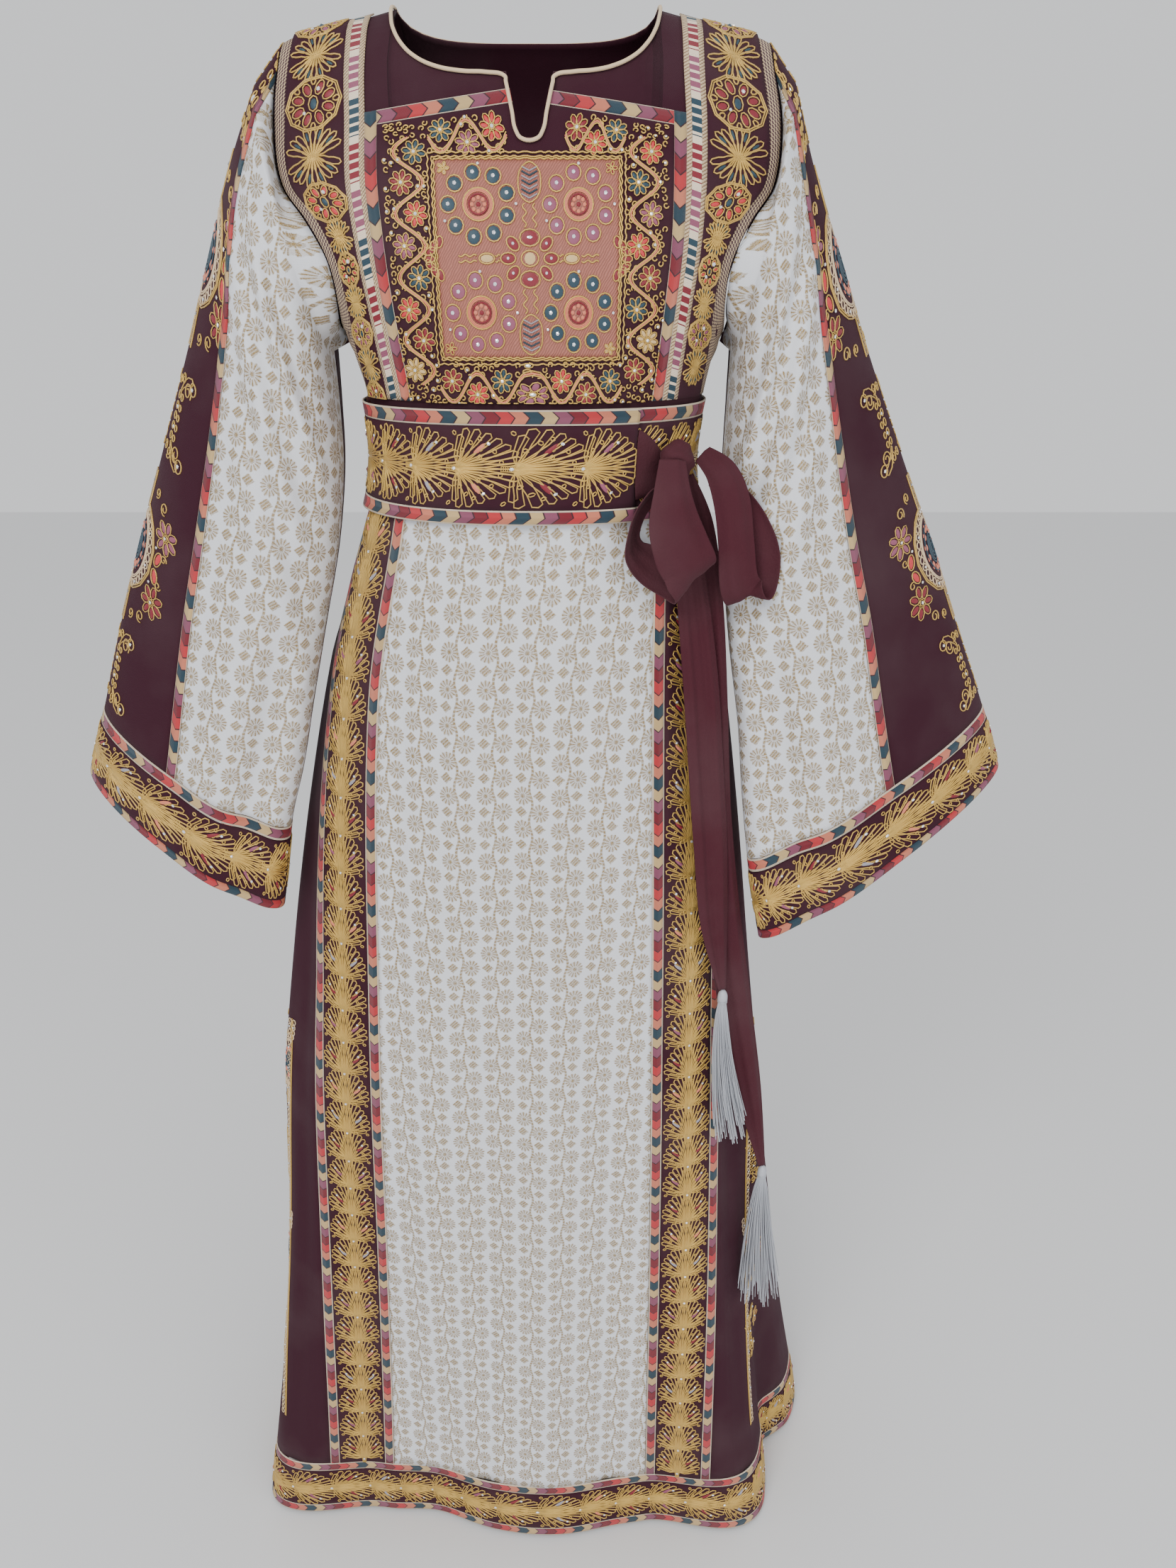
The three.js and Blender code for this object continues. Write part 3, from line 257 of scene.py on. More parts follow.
def around(degrees, z, off=0.0):
    """Points of bodice or skirt at angles from the front, moved out by `off` millimetres."""
    degrees, z = np.broadcast_arrays(np.asarray(degrees, float), np.asarray(z, float))
    middle, half, front, back, square = np.moveaxis(section(z), -1, 0)
    sine, cosine = np.sin(np.radians(degrees)), np.cos(np.radians(degrees))
    sx = np.sign(sine) * abs(sine) ** (2 / square)
    cy = np.sign(cosine) * abs(cosine) ** (2 / square)
    x, y = middle + half * sx, -np.where(cy > 0, front, back) * cy
    base = np.stack([x, y, z], -1)
    side = np.stack([sine, -cosine, np.zeros_like(sine)], -1)
    return base + side * flute(degrees, z)[..., None] + outward(x, y, z) * np.asarray(off)[..., None]


def across(distance, z, facing, off=0.0):
    """Points of the bodice at distances from its middle; facing is -1 in front and 1 behind."""
    distance, z = np.broadcast_arrays(np.asarray(distance, float), np.asarray(z, float))
    middle, half, front, back, square = np.moveaxis(section(z), -1, 0)
    share = np.clip(abs(distance) / half, 0, 1)
    depth = front if facing < 0 else back
    y = facing * np.maximum(depth * (1 - share**square) ** (1 / square), 1e-6)
    x = middle + np.clip(distance, -half, half)
    return np.stack([x, y, z], -1) + outward(x, y, z) * np.asarray(off)[..., None]


print("tables read:", len(SECTIONS), "sections,", len(SLEEVES[1]), "rows a sleeve")

# %% [markdown]
# ## Points of the panels
# Each cloth is a fine grid of points. From the grid come its normals and its real lengths
# across and along, so patterns and stitches are laid out in metres of cloth.

# %% Panel grids
MM = 0.001


def through_rows(table, at):
    """Values of a table at places that may lie between two of its rows, on a smooth curve."""
    rows = np.array(table, float)
    last = len(rows) - 1
    k = np.clip(np.floor(at).astype(int), 0, last - 1)
    s = (at - k)[..., None]
    p0, p1, p2, p3 = (rows[np.clip(k + i, 0, last)] for i in (-1, 0, 1, 2))
    return p1 + 0.5 * s * (p2 - p0 + s * (2 * p0 - 5 * p1 + 4 * p2 - p3
                                          + s * (3 * (p1 - p2) + p3 - p0)))


def sleeve_columns(side, row):
    return through_rows(SLEEVES[side], row)


def sleeve_fold(row, turn):
    out = np.zeros(np.broadcast(row, turn).shape)
    for row0, turn0, row1, turn1, wide, far in SLEEVE_FOLDS:
        run = np.array([row1 - row0, (turn1 - turn0) / FOLD_DEGREES])
        down, over = row - row0, (turn - turn0) / FOLD_DEGREES
        s = np.clip((down * run[0] + over * run[1]) / (run @ run), 0, 1)
        away = np.hypot(down - s * run[0], over - s * run[1]) / wide
        out = out + far * np.sin(math.pi * (0.15 + 0.7 * s)) * swell(away)
    return out


def sleeve_point(side, row, turn, off=0.0):
    """Points of a sleeve: turn is 0 at the outer line, 90 in front and 180 under the arm."""
    row, turn = np.broadcast_arrays(np.asarray(row, float), np.asarray(turn, float))
    v = sleeve_columns(side, row)
    outer = v[..., 0:3] * [side, 1, 1]
    inner = v[..., 3:6] * [side, 1, 1]
    half = (outer - inner) / 2
    reach = np.linalg.norm(half, axis=-1)
    more = off + sleeve_fold(row, (turn + 540) % 360 - 180)
    cosine, sine = np.cos(np.radians(turn)), np.sin(np.radians(turn))
    return ((outer + inner) / 2 + half / reach[..., None] * ((reach + more) * cosine)[..., None]
            + np.array([0, -1, 0]) * ((v[..., 6] + more) * sine)[..., None])


def armhole(side, turn, off=0.0):
    z = SHOULDER_Z + (UNDERARM_Z - SHOULDER_Z) * (1 - np.cos(np.radians(turn))) / 2
    front = np.sin(np.radians(turn)) >= 0
    half = section(z)[..., 1]
    ahead = across(side * np.minimum(bodice_lines(z)[..., 3], half), z, -1, off)
    behind = across(side * np.minimum(back_edge(z)[..., 0], half), z, 1, off)
    return np.where(front[..., None], ahead, behind)


def sleeve_root(side, turn):
    """The sleeve's armhole row, a little outside the armhole of the bodice."""
    here = armhole(side, turn)
    tangent = armhole(side, turn + 2) - armhole(side, turn - 2)
    normal = armhole(side, turn, 1.0) - here
    away = np.cross(tangent, normal)
    away *= -side / np.linalg.norm(away, axis=-1, keepdims=True)
    wrapped = abs((turn + 540) % 360 - 180)
    s = np.clip((wrapped - 125) / 45, 0, 1)
    outside = s * s * (3 - 2 * s) * (CLOTH + 1.5 * SEAM)
    apart = np.where(np.sin(np.radians(turn)) > 0, 1.4, 2.4)
    return here + normal * outside[..., None] + away * apart[..., None]


def sleeve_cloth(side, row, turn):
    """Sleeve cloth from its root at row -1 over the tables' rows."""
    row, turn = np.broadcast_arrays(np.asarray(row, float), np.asarray(turn, float))
    body = sleeve_point(side, np.maximum(row, 0), turn)
    blend = np.clip(-row, 0, 1)[..., None]
    return body * (1 - blend) + sleeve_root(side, turn) * blend


def angle_at(x, z):
    middle, half, _, _, square = np.moveaxis(section(z), -1, 0)
    share = np.clip((x - middle) / half, -1, 1)
    return np.sign(share) * np.degrees(np.arcsin(abs(share) ** (square / 2)))


def along(degrees, length, z):
    """Angle reached by going a length along the cloth, in small steps."""
    pace = 0.25 * np.sign(length)
    at, left, here = degrees, abs(length), around(degrees, z)
    while left > 0:
        ahead = around(at + pace, z)
        run = float(np.linalg.norm(ahead - here))
        at += pace * min(1, left / run)
        left -= run
        here = ahead
    return at


def skirt_seams(z):
    left, right = cream_edges(z)
    cream_left, cream_right = float(angle_at(left, z)), float(angle_at(right, z))
    band_left, band_right = along(cream_left, -BRAID, z), along(cream_right, BRAID, z)
    outer_left, outer_right = along(band_left, -GOLD, z), along(band_right, GOLD, z)
    return [-SIDE_SEAM, along(outer_left, -BRAID, z), outer_left, band_left, cream_left,
            cream_right, band_right, outer_right, along(outer_right, BRAID, z), SIDE_SEAM,
            360 - SIDE_SEAM]


SEAM_HEIGHTS = np.linspace(WAIST_Z, HEM_BAND_Z, 40)
SEAM_TABLE = np.array([skirt_seams(z) for z in SEAM_HEIGHTS])


def seam_angle(k, z):
    return np.interp(-z, -SEAM_HEIGHTS, SEAM_TABLE[:, k])


def normals_of(points):
    """Outward normals of a grid of points."""
    down, over = np.gradient(points, axis=0), np.gradient(points, axis=1)
    normal = -np.cross(over, down)
    return normal / np.maximum(np.linalg.norm(normal, axis=-1, keepdims=True), 1e-12)


class Panel:
    """A cloth's grid of points in metres, rows down its length, columns across it."""

    def __init__(self, name, points, length_across=False):
        self.name = name
        self.p = points * MM
        rows, columns = self.p.shape[:2]
        self.n = normals_of(self.p)
        step_u = np.linalg.norm(np.diff(self.p, axis=1), axis=-1)
        u = np.concatenate([np.zeros((rows, 1)), np.cumsum(step_u, axis=1)], 1)
        self.width = u[:, -1].copy()
        self.u = u - u[:, -1:] / 2
        step_v = np.linalg.norm(np.diff(self.p, axis=0), axis=-1)
        v = np.concatenate([np.zeros((1, columns)), np.cumsum(step_v, axis=0)], 0)
        self.v = v
        self.length = float(v[-1].mean())
        self.length_across = length_across
        self.weave_u, self.weave_v = self.u, self.v

    def weave_along(self):
        """Lays the weave straight down the panel where its rows run at a slant."""
        middle = self.p.shape[1] // 2
        axis = self.p[-1, middle] - self.p[0, middle]
        axis /= np.linalg.norm(axis)
        step = np.diff(self.p, axis=1)
        step -= (step @ axis)[..., None] * axis
        u = np.concatenate([np.zeros((len(self.p), 1)), np.cumsum(np.linalg.norm(step, axis=-1), 1)], 1)
        self.weave_u = u - u[:, middle:middle + 1]
        self.weave_v = (self.p - self.p[0, middle]) @ axis

    def grid(self, u, v):
        """Place in rows and columns of points given in metres across and along."""
        rows, columns = self.p.shape[:2]
        r = np.interp(v, self.v.mean(1), np.arange(rows))
        k = np.clip(r.astype(int), 0, rows - 2)
        width = self.width[k] + (self.width[k + 1] - self.width[k]) * (r - k)
        share = np.clip(u / width + 0.5, 0, 1)
        return r, share * (columns - 1)

    def spot(self, u, v, off=0.0):
        """Points at metres across from the middle and along from the top, moved out."""
        u, v = np.broadcast_arrays(np.asarray(u, float), np.asarray(v, float))
        r, c = self.grid(u, v)
        rows, columns = self.p.shape[:2]
        i = np.clip(r.astype(int), 0, rows - 2)
        j = np.clip(c.astype(int), 0, columns - 2)
        a, b = (r - i)[..., None], (c - j)[..., None]

        def mix(field):
            return ((field[i, j] * (1 - b) + field[i, j + 1] * b) * (1 - a)
                    + (field[i + 1, j] * (1 - b) + field[i + 1, j + 1] * b) * a)

        return mix(self.p) + mix(self.n) * np.asarray(off)[..., None]

    def area(self):
        """Area of the cloth in square metres."""
        one = np.cross(self.p[1:, :-1] - self.p[:-1, :-1], self.p[:-1, 1:] - self.p[:-1, :-1])
        two = np.cross(self.p[1:, :-1] - self.p[1:, 1:], self.p[:-1, 1:] - self.p[1:, 1:])
        return float((np.linalg.norm(one, axis=-1) + np.linalg.norm(two, axis=-1)).sum() / 2)

    def crease(self, folds):
        """Presses soft folds in: (share across, share along) from and to, width, height, in mm."""
        rows, columns = self.p.shape[:2]
        u, v = self.u, self.v
        push = np.zeros((rows, columns))
        for (u0, v0), (u1, v1), wide, high in folds:
            start = np.array([(u0 - 0.5) * self.width[int(v0 * (rows - 1))], v0 * self.length])
            end = np.array([(u1 - 0.5) * self.width[int(v1 * (rows - 1))], v1 * self.length])
            run = end - start
            s = np.clip(((u - start[0]) * run[0] + (v - start[1]) * run[1]) / (run @ run), 0, 1)
            away = np.hypot(u - start[0] - s * run[0], v - start[1] - s * run[1]) / (wide * MM)
            fade = np.sin(math.pi * (0.12 + 0.76 * s))
            push += high * MM * fade * np.exp(-2.2 * away**2)
        edge = np.minimum(np.arange(columns), np.arange(columns)[::-1]) / max(columns - 1, 1)
        push *= np.clip(edge / 0.06, 0, 1)[None, :]
        self.p = self.p + self.n * push[..., None]
        self.n = normals_of(self.p)


print("seams of the skirt at", len(SEAM_HEIGHTS), "heights")

# %% [markdown]
# ## Cloths
# A cloth is a fine flat grid whose points are moved to the panel's points. It keeps its real
# lengths as texture coordinates and gets its thickness inwards.

# %% Cloth builder
THICK, CREPE_THICK = 0.0011, 0.0009


def object_of(bm, name, materials):
    """A mesh object made from a bmesh, riding on the dress."""
    mesh = bpy.data.meshes.new(name)
    bm.to_mesh(mesh)
    bm.free()
    for item in materials:
        mesh.materials.append(item)
    mesh.polygons.foreach_set("use_smooth", [True] * len(mesh.polygons))
    item = add_object(name, mesh)
    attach(item, "root")
    return item


def tubes(name, radius, resolution):
    """An empty curve whose lines become tubes of a radius in metres."""
    curve = bpy.data.curves.new(name, "CURVE")
    curve.dimensions, curve.bevel_depth, curve.bevel_resolution = "3D", radius, resolution
    return curve


def cloth(panel, material, slot, nodes=(), thick=THICK, hole=None):
    """The panel's cloth, which stands for its CAD nodes; hole(i, j) leaves faces out."""
    rows, columns = panel.p.shape[:2]
    bm = bmesh.new()
    bmesh.ops.create_grid(bm, x_segments=columns - 1, y_segments=rows - 1, size=0.5)
    uv = bm.loops.layers.uv.new("cloth")
    place = {}
    for vertex in bm.verts:
        place[vertex] = (round((0.5 - vertex.co.y) * (rows - 1)),
                         round((vertex.co.x + 0.5) * (columns - 1)))
    for face in bm.faces:
        for loop in face.loops:
            u, v = panel.weave_u[place[loop.vert]], panel.weave_v[place[loop.vert]]
            loop[uv].uv = (v - panel.length / 2, u) if panel.length_across else (u, v)
    if hole:
        gone = [f for f in bm.faces if hole(min(place[v][0] for v in f.verts),
                                            min(place[v][1] for v in f.verts))]
        bmesh.ops.delete(bm, geom=gone, context="FACES")
    for vertex in bm.verts:
        vertex.co = panel.p[place[vertex]]
    item = object_of(bm, f"cloth_{panel.name}", [material])
    skin = item.modifiers.new("thickness", "SOLIDIFY")
    skin.thickness, skin.offset = thick, -1
    if nodes:
        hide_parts(*nodes)
    return item


def cut_as(item, panel):
    """Lists the cut of a cloth's panel: its name, width, length and area."""
    area = panel.area()
    long = float(panel.v[-1].max())
    wide = max(float(np.median(panel.width)), area / long * 1.002)
    CUTS.append((panel.name, round(wide, 3), round(long, 3), round(area, 4)))


CUTS = []

# %% [markdown]
# ## Bodice
# The front runs from shoulder to waist with the neckline and the slit left open. On it lie the
# chest panel in its frame of braid, the tapes and the shoulder bands. The back is plain.

# %% Bodice panels
FRONT_ROWS, CHEST_ROWS = (18, 44), (6, 44)
LOWEST_TOP = -60.0
HALVINGS, SETTLINGS = 40, 14


def shoulder_line(distance):
    """Height at which the bodice is as wide as a distance from its middle."""
    high, low = 0.0, LOWEST_TOP
    for _ in range(HALVINGS):
        z = (high + low) / 2
        if section(z)[..., 1] < distance:
            high = z
        else:
            low = z
    return (high + low) / 2


def bodice_top(distance, drop):
    d = abs(distance)
    return shoulder_line(d) if d >= NECK_HALF else -drop * math.sqrt(1 - (d / NECK_HALF) ** 4)


def front_line(k, inset=0.0):
    """One of the bodice front's lines as a function of height; 0 frame, 1 tape, 2 band, 3 edge."""
    return lambda z: bodice_lines(z)[..., k] - inset


def mirrored(line):
    return lambda z: -line(z)


def slit_edge(side):
    def edge(z):
        share = np.clip((z - SLIT["top"]) / (SLIT["foot"] - SLIT["top"]), 0, 1)
        half = SLIT["half_top"] + (SLIT["half_foot"] - SLIT["half_top"]) * share
        return SLIT["middle"] + side * half - section(z)[..., 0]
    return edge


def front_panel(name, runs, top, foot, off, middle=None, rows=FRONT_ROWS, length_across=False):
    """Panel of the bodice front; runs are (from line, to line, shares) from left to right."""
    columns = [(a, b, s) for n, (a, b, shares) in enumerate(runs) for s in shares[min(n, 1):]]
    line = []
    for a, b, s in columns:
        z = np.float64(LOWEST_TOP)
        for _ in range(SETTLINGS):
            z = np.float64(top(float(a(z) + (b(z) - a(z)) * s)))
        low = foot(float(a(z) + (b(z) - a(z)) * s)) if callable(foot) else foot
        if middle is None:
            heights = np.linspace(z, low, sum(rows) + 1)
        else:
            heights = np.concatenate([np.linspace(z, middle, rows[0] + 1),
                                      np.linspace(middle, low, rows[1] + 1)[1:]])
        distance = a(heights) + (b(heights) - a(heights)) * s
        line.append(across(distance, heights, -1, off))
    return Panel(name, np.stack(line, 1), length_across)


FRAME_HALF = 107


def frame_top(distance):
    share = min(1.0, abs(distance) / FRAME_HALF)
    return CHEST_TOP_MIDDLE + (CHEST_TOP_CORNER - CHEST_TOP_MIDDLE) * share


NECK_SHARES = np.unique(np.concatenate([
    np.linspace(0, 1, 31), 0.5 + np.array([-0.03, -0.015, -0.006, 0, 0.004, 0.01, 0.02, 0.035])]))
EVEN = np.linspace(0, 1, 29)
SLIT_SHARES = np.array([0, 0.5, 1])
ON = SEAM + APPLIQUE
slit_left, slit_right = slit_edge(-1), slit_edge(1)
edge, frame_in = front_line(3), front_line(0, CHEST_BRAID)

front = front_panel("bodice_front", [
    (mirrored(edge), slit_left, NECK_SHARES), (slit_left, slit_right, SLIT_SHARES),
    (slit_right, edge, 1 - NECK_SHARES[::-1])], lambda d: bodice_top(d, NECK_DROP),
    WAIST_Z, 0.0, middle=SLIT["foot"])
chest = front_panel("chest_panel", [
    (mirrored(frame_in), slit_left, EVEN), (slit_left, slit_right, SLIT_SHARES),
    (slit_right, frame_in, EVEN)], lambda d: frame_top(d) - CHEST_BRAID - SEAM,
    CHEST_FOOT, ON, middle=SLIT["foot"], rows=CHEST_ROWS)
print("bodice front", front.p.shape)

# %% Bodice panels, trims and back
def strip_of_front(name, left, right, top, foot, shares, off=ON, rows=60):
    return front_panel(name, [(left, right, shares)], top, foot, off, rows=(1, rows - 1))


def frame_foot(distance):
    return frame_top(distance) - CHEST_BRAID


def neck_or_shoulder(distance):
    return bodice_top(distance, NECK_DROP)


TRIMS = []
for side, word in SIDES:
    def pair(inner, outer):
        return (mirrored(outer), mirrored(inner)) if side < 0 else (inner, outer)

    frame_line, tape_line, band_line = front_line(0), front_line(1), front_line(2)
    top_ends = (mirrored(frame_in), slit_left) if side < 0 else (slit_right, frame_in)
    TRIMS += [
        ("braid", front_panel(f"chest_braid_top_{word}", [(*top_ends, EVEN)], frame_top, frame_foot,
                              ON, rows=(1, 3), length_across=True)),
        ("braid", strip_of_front(f"chest_braid_{word}", *pair(frame_in, frame_line), frame_top,
                                 CHEST_FOOT, np.linspace(0, 1, 4))),
        ("tape", strip_of_front(f"block_tape_{word}", *pair(frame_line, tape_line),
                                neck_or_shoulder, CHEST_FOOT, np.linspace(0, 1, 5))),
        ("gold", strip_of_front(f"shoulder_band_{word}", *pair(tape_line, band_line),
                                neck_or_shoulder, CHEST_FOOT, np.linspace(0, 1, 13), rows=80)),
        ("check", strip_of_front(f"check_edging_{word}", *pair(front_line(2, -1), front_line(3, 1)),
                                 neck_or_shoulder, CHEST_FOOT, np.linspace(0, 1, 4), off=0.6)),
    ]


def back_panel(name):
    line = []
    for share in np.unique(np.concatenate([np.sin(np.linspace(-1, 1, 61) * math.pi / 2),
                                           [-0.54, -0.53, 0.53, 0.54]]))[::-1]:
        top = float(SHOULDER_Z)
        for _ in range(SETTLINGS):
            top = bodice_top(share * float(back_edge(top)[..., 0]), NECK_BACK_DROP) \
                if abs(share) < 0.999 else float(SHOULDER_Z)
        heights = top + (WAIST_Z - top) * np.linspace(0, 1, 60) ** 1.15
        reach = back_edge(heights)[..., 0]
        line.append(across(share * reach, heights, 1) + [0, SEAM, 0])
    return Panel(name, np.stack(line, 1))


back = back_panel("bodice_back")
back.crease([((0.35, 0.55), (0.2, 0.97), 16, -5), ((0.65, 0.55), (0.8, 0.97), 16, -5),
             ((0.5, 0.6), (0.5, 0.98), 14, 4), ((0.25, 0.3), (0.12, 0.62), 18, 4),
             ((0.75, 0.3), (0.88, 0.62), 18, 4)])
front.crease([((0.03, 0.5), (0.1, 0.8), 9, 2.5), ((0.97, 0.5), (0.9, 0.8), 9, 2.5)])

# %% [markdown]
# ## Skirt, hem and belt
# The panels follow the seams of the CAD. Long soft folds fall from the belt and the hem opens
# into the flutes. The embroidered hem runs all round.

# %% Skirt, hem and belt panels
SKIRT_ROWS = np.concatenate([np.linspace(WAIST_Z - SEAM / 2, -400, 9)[:-1],
                             np.linspace(-400, HEM_BAND_Z + SEAM / 2, 78)])
SKIRT = [
    ("skirt_side_left", 34, 0, "plum"), ("skirt_braid_outer_left", 3, BRAID_RISE, "braid"),
    ("skirt_band_left", 12, GOLD_RISE, "gold"), ("skirt_braid_inner_left", 3, BRAID_RISE, "braid"),
    ("skirt_front", 56, 0, "cream"), ("skirt_braid_inner_right", 3, BRAID_RISE, "braid"),
    ("skirt_band_right", 12, GOLD_RISE, "gold"), ("skirt_braid_outer_right", 3, BRAID_RISE, "braid"),
    ("skirt_side_right", 34, 0, "plum"), ("skirt_back", 100, 0, "plum"),
]
# Above BAND_FREE_Z the bands lie flat under the belt; SEAM_TURN is a seam's half width in degrees
BAND_FREE_Z, SEAM_TURN = -350, 0.04
SKIRT_PANELS = {}
for k, (name, columns, raised, _) in enumerate(SKIRT):
    z = SKIRT_ROWS[:, None]
    a, b = seam_angle(k, SKIRT_ROWS)[:, None], seam_angle(k + 1, SKIRT_ROWS)[:, None]
    turn = a + SEAM_TURN + (b - a - 2 * SEAM_TURN) * np.linspace(0, 1, columns + 1)[None, :]
    off = np.where(z < BAND_FREE_Z, raised, 0.0)
    SKIRT_PANELS[name] = Panel(name, around(turn, z, off))
SKIRT_PANELS["skirt_front"].crease([
    ((0.30, 0.02), (0.26, 0.55), 17, 3.5), ((0.47, 0.0), (0.52, 0.5), 15, -3.5),
    ((0.66, 0.02), (0.70, 0.62), 16, 3.5), ((0.2, 0.45), (0.14, 1.0), 24, 5),
    ((0.40, 0.5), (0.38, 1.0), 22, -5), ((0.60, 0.45), (0.62, 1.0), 24, 5),
    ((0.83, 0.35), (0.85, 1.0), 18, -4), ((0.08, 0.1), (0.06, 0.5), 12, -2.5),
])
SKIRT_PANELS["skirt_side_left"].crease([
    ((0.25, 0.1), (0.3, 0.8), 20, -6), ((0.6, 0.15), (0.55, 0.75), 18, 5), ((0.85, 0.3), (0.8, 1), 16, -4)])
SKIRT_PANELS["skirt_side_right"].crease([
    ((0.75, 0.1), (0.7, 0.8), 20, -6), ((0.4, 0.15), (0.45, 0.75), 18, 5), ((0.15, 0.3), (0.2, 1), 16, -4)])
SKIRT_PANELS["skirt_back"].crease([
    ((0.1 + 0.133 * n, 0.0), (0.1 + 0.133 * n, 0.9 - 0.1 * (n % 2)), 22, -6 if n % 2 else 6)
    for n in range(7)])

HEM = []
COLUMNS_OF_HEM = {"front": (-SIDE_SEAM, SIDE_SEAM, 200), "back": (SIDE_SEAM, 360 - SIDE_SEAM, 160)}
for word, (start, end, count) in COLUMNS_OF_HEM.items():
    turn = np.linspace(start + SEAM_TURN, end - SEAM_TURN, count + 1)[None, :]
    for name, top, foot, rows, raised, kind in (
            ("hem_braid_upper", HEM_BAND_Z, HEM_BAND_Z - BRAID, 3, BRAID_RISE, "braid"),
            ("hem_band", HEM_BAND_Z - BRAID, HEM_Z + BRAID, 12, GOLD_RISE, "gold"),
            ("hem_braid_lower", HEM_Z + BRAID, HEM_Z, 3, BRAID_RISE, "braid")):
        z = np.linspace(top - SEAM / 2, foot + SEAM / 2, rows + 1)[:, None]
        HEM.append((kind, Panel(f"{name}_{word}", around(turn, z, raised), True)))


def belt_off(degrees):
    """How far the belt's inner face lies off the bodice."""
    s = np.clip((degrees - BELT_RISE_FROM) / (360 - BELT_RISE_FROM), 0, 1)
    return BELT_UNDER + (BELT_OVER - BELT_UNDER) * s * s * (3 - 2 * s)


BELT = []
BELT_LOW = BELT_TOP - BELT_HIGH
for name, top, foot, rows, kind in (
        ("belt_braid_top", BELT_TOP, BELT_TOP - BRAID + SEAM, 3, "braid"),
        ("belt_band", BELT_TOP - BRAID, BELT_LOW + BRAID, 12, "gold"),
        ("belt_braid_bottom", BELT_LOW + BRAID - SEAM, BELT_LOW, 3, "braid")):
    turn = np.linspace(BELT_FROM, BELT_TO, 261)[None, :]
    z = np.linspace(top, foot, rows + 1)[:, None]
    BELT.append((kind, Panel(name, around(turn, z, belt_off(turn) + BELT_THICK), True)))

# The sash comes out from under the belt's end and runs over the band to the knot
WRAP_FROM, WRAP_TO = 32.4, 43.5
share = np.linspace(0, 1, 25)[None, :]
drop = np.linspace(0, 1, 13)[:, None]
top, foot = -271 - 16 * share**1.4, -322 + 4 * share
turn = WRAP_FROM + (WRAP_TO - WRAP_FROM) * share
ripple = 0.7 * np.sin(3 * math.pi * drop) * share
WRAP = Panel("sash_wrap", around(turn, top + (foot - top) * drop, BELT_UNDER + BELT_THICK + 2.2 + ripple))

# %% [markdown]
# ## Sleeves
# Each sleeve is a plum outer panel and a cream gore, joined under a braid, with the gold cuff.
# Large folds break at the elbow; smaller ones run down to the cuff.

# %% Sleeve panels
SLEEVE_PANELS = {}
SLEEVE_ROWS = np.concatenate([np.linspace(-1, 0, 5)[:-1], np.linspace(0, CUFF_ROW - CUFF_SEAM, 74)])
for side, word in SIDES:
    row = SLEEVE_ROWS[:, None]
    seam = sleeve_columns(side, np.maximum(row, 0))[..., 7]
    pace = np.linalg.norm(sleeve_point(side, np.maximum(row, 0), 71.0)
                          - sleeve_point(side, np.maximum(row, 0), 70.0), axis=-1)
    half = (BRAID / 2 - 1) / pace
    gap = SLEEVE_GAP / pace
    spans = {
        "sleeve_outer": (-180 + gap, seam - half - gap, 90, 0.0),
        "sleeve_braid": (seam - half, seam + half, 3, BRAID_RISE),
        "sleeve_front": (seam + half + gap, 180 - gap, 64, 0.0),
    }
    for name, (start, end, count, raised) in spans.items():
        share = np.linspace(0, 1, count + 1)[None, ::-side]
        turn = start + (end - start) * share
        piece = SLEEVE_PANELS[f"{name}_{word}"] = Panel(f"{name}_{word}", sleeve_cloth(side, row, turn))
        if name == "sleeve_front":
            piece.weave_along()
        if raised:
            piece.p = piece.p + piece.n * raised * MM
    inner = CUFF_BRAID + CUFF_GAP
    for name, start, end, rows, raised in (
            ("cuff_braid_upper", CUFF_SEAM, CUFF_BRAID, 3, BRAID_RISE),
            ("cuff_band", inner, 1 - inner, 12, GOLD_RISE),
            ("cuff_braid_lower", 1 - CUFF_BRAID, 1, 3, BRAID_RISE)):
        turn = np.linspace(-180, 180, 121)[None, ::-side]
        row_cuff = CUFF_ROW + np.linspace(start, end, rows + 1)[:, None]
        SLEEVE_PANELS[f"{name}_{word}"] = Panel(
            f"{name}_{word}", sleeve_point(side, row_cuff, turn, raised), True)
print("panels of skirt, hem, belt and sleeves ready")

# %% [markdown]
# ## Sash, bow and tassels
# A crepe sash is knotted over the belt. Its two loops and two tails hang in front of the skirt,
# and a silver tassel ends each tail.

# %% Sash panels and knot
KNOT_TURN, KNOT_Z, KNOT_SIZE, KNOT_LIFT = 47, -294, (15, 11, 15), 1.75
# x, y, z, width, lean of the width and its swing to the back, in degrees
BOW_FRONT = [
    (106, -99.4, -292, 20, 0, 14), (106, -109, -312, 28, 2, 14), (108, -116, -335, 40, 4, 14),
    (114, -120, -355, 44, 14, 12), (120, -120, -368, 43, 30, 10), (119, -113, -377, 42, 42, 8),
    (109, -107, -375, 38, 56, 12), (92, -106, -368, 32, 58, 24), (80, -107, -358, 27, 40, 48),
    (78, -107, -345, 23, 8, 64), (83, -103, -329, 20, 0, 58), (93, -99, -317, 16, 0, 40),
    (101, -97.5, -312, 12, 0, 25)]
BOW_BACK = [
    (129.3, -81, -290, 15, 36, 14), (143, -91, -302, 24, 36, 14), (151, -100, -322, 28, 28, 14),
    (155, -105, -350, 28, 14, 10), (158, -107, -378, 30, 12, 5), (164, -104, -390, 34, 14, 0),
    (171, -98, -384, 36, 14, -4), (172, -94, -362, 36, 20, -6), (165, -91, -338, 28, 28, 0),
    (152, -87, -318, 20, 32, 8), (139, -81, -308, 14, 34, 14)]
